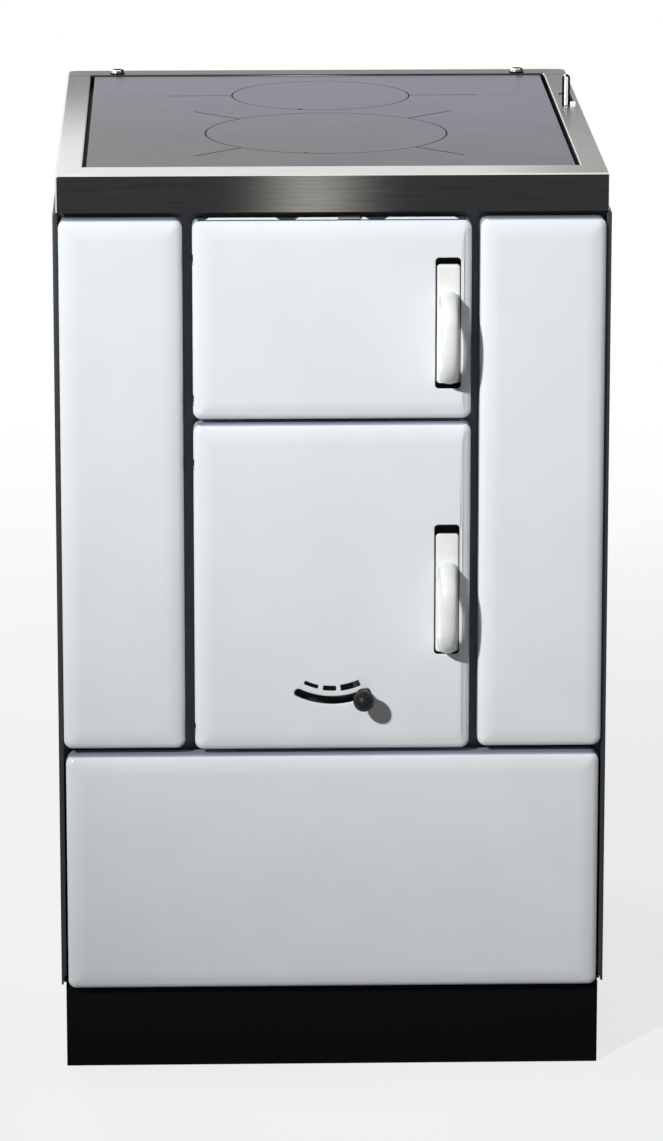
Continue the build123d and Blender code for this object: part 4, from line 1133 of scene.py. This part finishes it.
def makeBolts():
    low, high = boxMm("rim_bolts")
    washer, top, bore = boltValues["washer"], boltValues["washerTop"], boltValues["bore"]
    head, chamfer, corner = boltValues["headTop"], boltValues["chamfer"], boltValues["cornerTurn"]
    radius = boltValues["across"] / 2 / math.cos(math.radians(30))
    turns = [math.radians(60 * k + boltValues["turn"] + offset)
             for k in range(6) for offset in (-corner, corner)]
    bm = bmesh.new()
    for x in (-boltValues["x"], boltValues["x"]):
        place = Matrix.Translation((x, boltValues["y"], low.z))
        lathe(bm, [(bore, 0.0), (washer - 0.2, 0.0), (washer, 0.25), (washer, top - 0.35),
                   (washer - 0.4, top), (bore, top)], place, 40)
        levels = ((-0.2, top - 0.1), (0, top), (0, head - 0.7), (-chamfer, head),
                  (-chamfer - 1.4, head + 0.08))
        loft(bm, [[place @ Vector(((radius + grow) * math.cos(turn), (radius + grow) * math.sin(turn), z))
                   for turn in turns] for grow, z in levels])
    finishes = [steels["temperedSteel"], coats["paintedShadeBlack"], steels["paintedHighlightChrome"]]
    bolts = makeObject("rim_bolts_hex", bm, finishes, 30, weighted=False)
    # facets turned to the light are painted bright as a highlight, the top and the facets turned away
    # painted black as shade; the washer top and the rest keep the brown of the steel
    for polygon in bolts.data.polygons:
        height, normal = polygon.center.z / mm - low.z, polygon.normal
        if height < 1.3:
            polygon.material_index = 0 if normal.z > 0.9 else 1
        elif normal.z > 0.9:
            polygon.material_index = 1
        elif normal.z > 0.3:
            polygon.material_index = 2 if normal.x < 0.2 else 1
        else:
            polygon.material_index = 2 if normal.x < -0.3 else 1 if normal.x > 0.7 else 0
    standFor(bolts, "stove_body", "bright_chrome", "rim_bolts")


screwValues = {"head": 4.6, "height": 2.6, "rim": 0.5, "cross": (5.2, 1.2, 1.5), "turn": 37,
               "sideX": 238, "sideZ": (110, 290, 470, 650, 790), "footX": (-120, 0, 120), "footZ": 100}


def screwMesh():
    # pan head with a cross recess, standing on z = 0
    head, top, rim = screwValues["head"], screwValues["height"], screwValues["rim"]
    profile = [(1.0, -0.2), (head, -0.2), (head, rim)]
    profile += [(max(head * math.cos(turn) ** 0.8, 0.05), rim + (top - rim) * math.sin(turn))
                for turn in quarter(6)[1:]]
    bm = bmesh.new()
    lathe(bm, profile, Matrix.Identity(4), 24)
    screw = makeObject("screwHead", bm, steels["drawnSteel"], 40, weighted=False)
    length, width, depth = screwValues["cross"]
    along, across, up = (-length / 2, length / 2), (-width / 2, width / 2), (top - depth, top + 1)
    cut(screw, [cutterBox(along, across, up), cutterBox(across, along, up)])
    mesh = screw.data
    bpy.data.objects.remove(screw)
    return mesh


def makeScrews():
    mesh, y = screwMesh(), boxMm("rear_panel")[1].y
    places = [(x, y, z) for z in screwValues["sideZ"]
              for x in (-screwValues["sideX"], screwValues["sideX"])]
    places += [(x, y, screwValues["footZ"]) for x in screwValues["footX"]]
    facing = Vector((0, 1, 0)).to_track_quat("Z", "Y").to_matrix().to_4x4()
    for number, place in enumerate(places):
        screw = bpy.data.objects.new("rear_screw_%02d" % (number + 1), mesh)
        bpy.context.scene.collection.objects.link(screw)
        turn = Matrix.Rotation(math.radians(screwValues["turn"] * number), 4, "Z")
        screw.matrix_world = Matrix.Translation(Vector(place) * mm) @ facing @ turn
        standFor(screw, "stove_body", "plain_steel")
    print("bolts and screws made")


leverValues = {
    "y": 76.0,
    "pivotZ": 742.0,
    "radius": 3.9,
    "bore": 5.2,
    "hub": 9.0,
    "rodFrom": 0.8,          # metres: above this the rod is seen
    "stopEdge": 0.5,
    "stopCorner": 0.6,
    # a strip in the slot that goes with the rod and closes most of the slot behind it, on a small bracket
    "shield": ((233.6, 239.8), (80.6, 142.0), (848.3, 849.3), 1.0),
    "bracket": ((234.5, 237.5), (78.0, 86.0), (843.0, 848.4), 0.3),
}


def makeLever():
    low, high = boxMm("damper_lever")
    radius, pivotZ, y = leverValues["radius"], leverValues["pivotZ"], leverValues["y"]
    bore, hub, width = leverValues["bore"], leverValues["hub"], high.x - low.x
    profile = [(radius, pivotZ), (radius, high.z - radius)]
    profile += [(max(radius * math.cos(turn), 0.05), high.z - radius + radius * math.sin(turn))
                for turn in quarter(7)[1:]]
    bm = bmesh.new()
    lathe(bm, profile, Matrix.Translation(((low.x + high.x) / 2, y, 0)), 32)
    lathe(bm,
          [(bore, 0.0), (hub - 0.6, 0.0), (hub, 0.6), (hub, width - 0.6), (hub - 0.6, width),
           (bore, width)],
          Matrix.Translation((low.x, y, pivotZ)) @ Matrix.Rotation(math.radians(90), 4, "Y"), 32)
    finishes = [steels["chromePlate"], coats["paintedShadeBlack"], steels["drawnSteel"]]
    lever = makeObject("damper_lever_rod", bm, finishes, 40, weighted=False)
    # the rod's sides and the right of its top are painted black as dark reflections; its front stays chrome
    for polygon in lever.data.polygons:
        centre, normal = polygon.center, polygon.normal
        shaded = normal.x > 0.4 or normal.x < -0.55 or (normal.z > 0.35 and normal.x > -0.2)
        onRod = centre.z > leverValues["rodFrom"] and abs(centre.y * 1000 - y) < radius + 0.2
        polygon.material_index = (1 if shaded else 0) if onRod else 2
    standFor(lever, "damper", "bright_chrome", "damper_lever")

    bm = joinedInMm([], [cutterBox(*leverValues["shield"]), cutterBox(*leverValues["bracket"])])
    standFor(makeObject("lever_slot_shield", bm, sideSteel, 40, weighted=False), "damper", "plain_steel")

    low, high = boxMm("lever_stop")
    edge, corner = leverValues["stopEdge"], leverValues["stopCorner"]
    levels = ((0, low.z), (0, high.z - edge), (-edge * 0.3, high.z - edge * 0.3), (-edge, high.z))
    bm = bmesh.new()
    loft(bm, [atHeight(roundedRect((low.x, high.x), (low.y, high.y), corner, grow, 4), z)
              for grow, z in levels])
    # the whole stop block is painted near white as a highlight
    stop = makeObject("lever_stop_block", bm, steels["paintedHighlightChrome"], 40)
    standFor(stop, "stove_body", "bright_chrome", "lever_stop")
    print("damper lever made")


ropeValues = {"width": 4.0, "corner": 9.0, "cornerSteps": 10, "lay": 7.0, "depth": 0.09, "sides": 14,
              "step": 1.3}


def makeRope(name, node, body):
    # a braided rope laid round the door in a frame, its strands as swells that cross over
    low, high = boxMm(node)
    width, half, middleY = ropeValues["width"], (high.y - low.y) / 2, (low.y + high.y) / 2
    outline = roundedRect((low.x + width, high.x - width), (low.z + width, high.z - width),
                          ropeValues["corner"], steps=ropeValues["cornerSteps"])
    path, travelled = [], 0.0
    for (x, z), (nextX, nextZ) in zip(outline, outline[1:] + outline[:1]):
        length = math.dist((x, z), (nextX, nextZ))
        count = max(1, round(length / ropeValues["step"]))
        for k in range(count):
            share = k / count
            path.append((x + (nextX - x) * share, z + (nextZ - z) * share, travelled + length * share))
        travelled += length
    turns = round(travelled / ropeValues["lay"])
    outlines = []
    for i, (x, z, run) in enumerate(path):
        before, after = path[i - 1], path[(i + 1) % len(path)]
        along = Vector((after[0] - before[0], 0, after[1] - before[1])).normalized()
        side = Vector((along.z, 0, -along.x))
        phase = math.tau * turns * run / travelled
        points = []
        for k in range(ropeValues["sides"]):
            angle = math.tau * k / ropeValues["sides"]
            crossing = math.cos(phase + 2 * angle) * math.cos(phase - 2 * angle)
            swell = 1 - ropeValues["depth"] * (1 + crossing)
            points.append(Vector((x, middleY, z)) + side * (width * swell * math.cos(angle))
                          + Vector((0, half * swell * math.sin(angle), 0)))
        outlines.append(points)
    bm = bmesh.new()
    loft(bm, outlines, "joined")
    standFor(makeObject(name, bm, rope, 70, weighted=False), body, "rope_seal", node)


makeCamera()
makeLamps()
makeWorld()
makeFloor()
finishNodes()
makeSoftened()
makeHob()
makeSkins()
makeAirSlide()
makeHandles()
makeKnob()
makeRim()
makeBolts()
makeScrews()
makeLever()
makeRope("fuel_door_rope", "fuel_door_seal", "fuel_door")
makeRope("ash_door_rope", "ash_door_seal", "ash_door")
print("rope seals made")
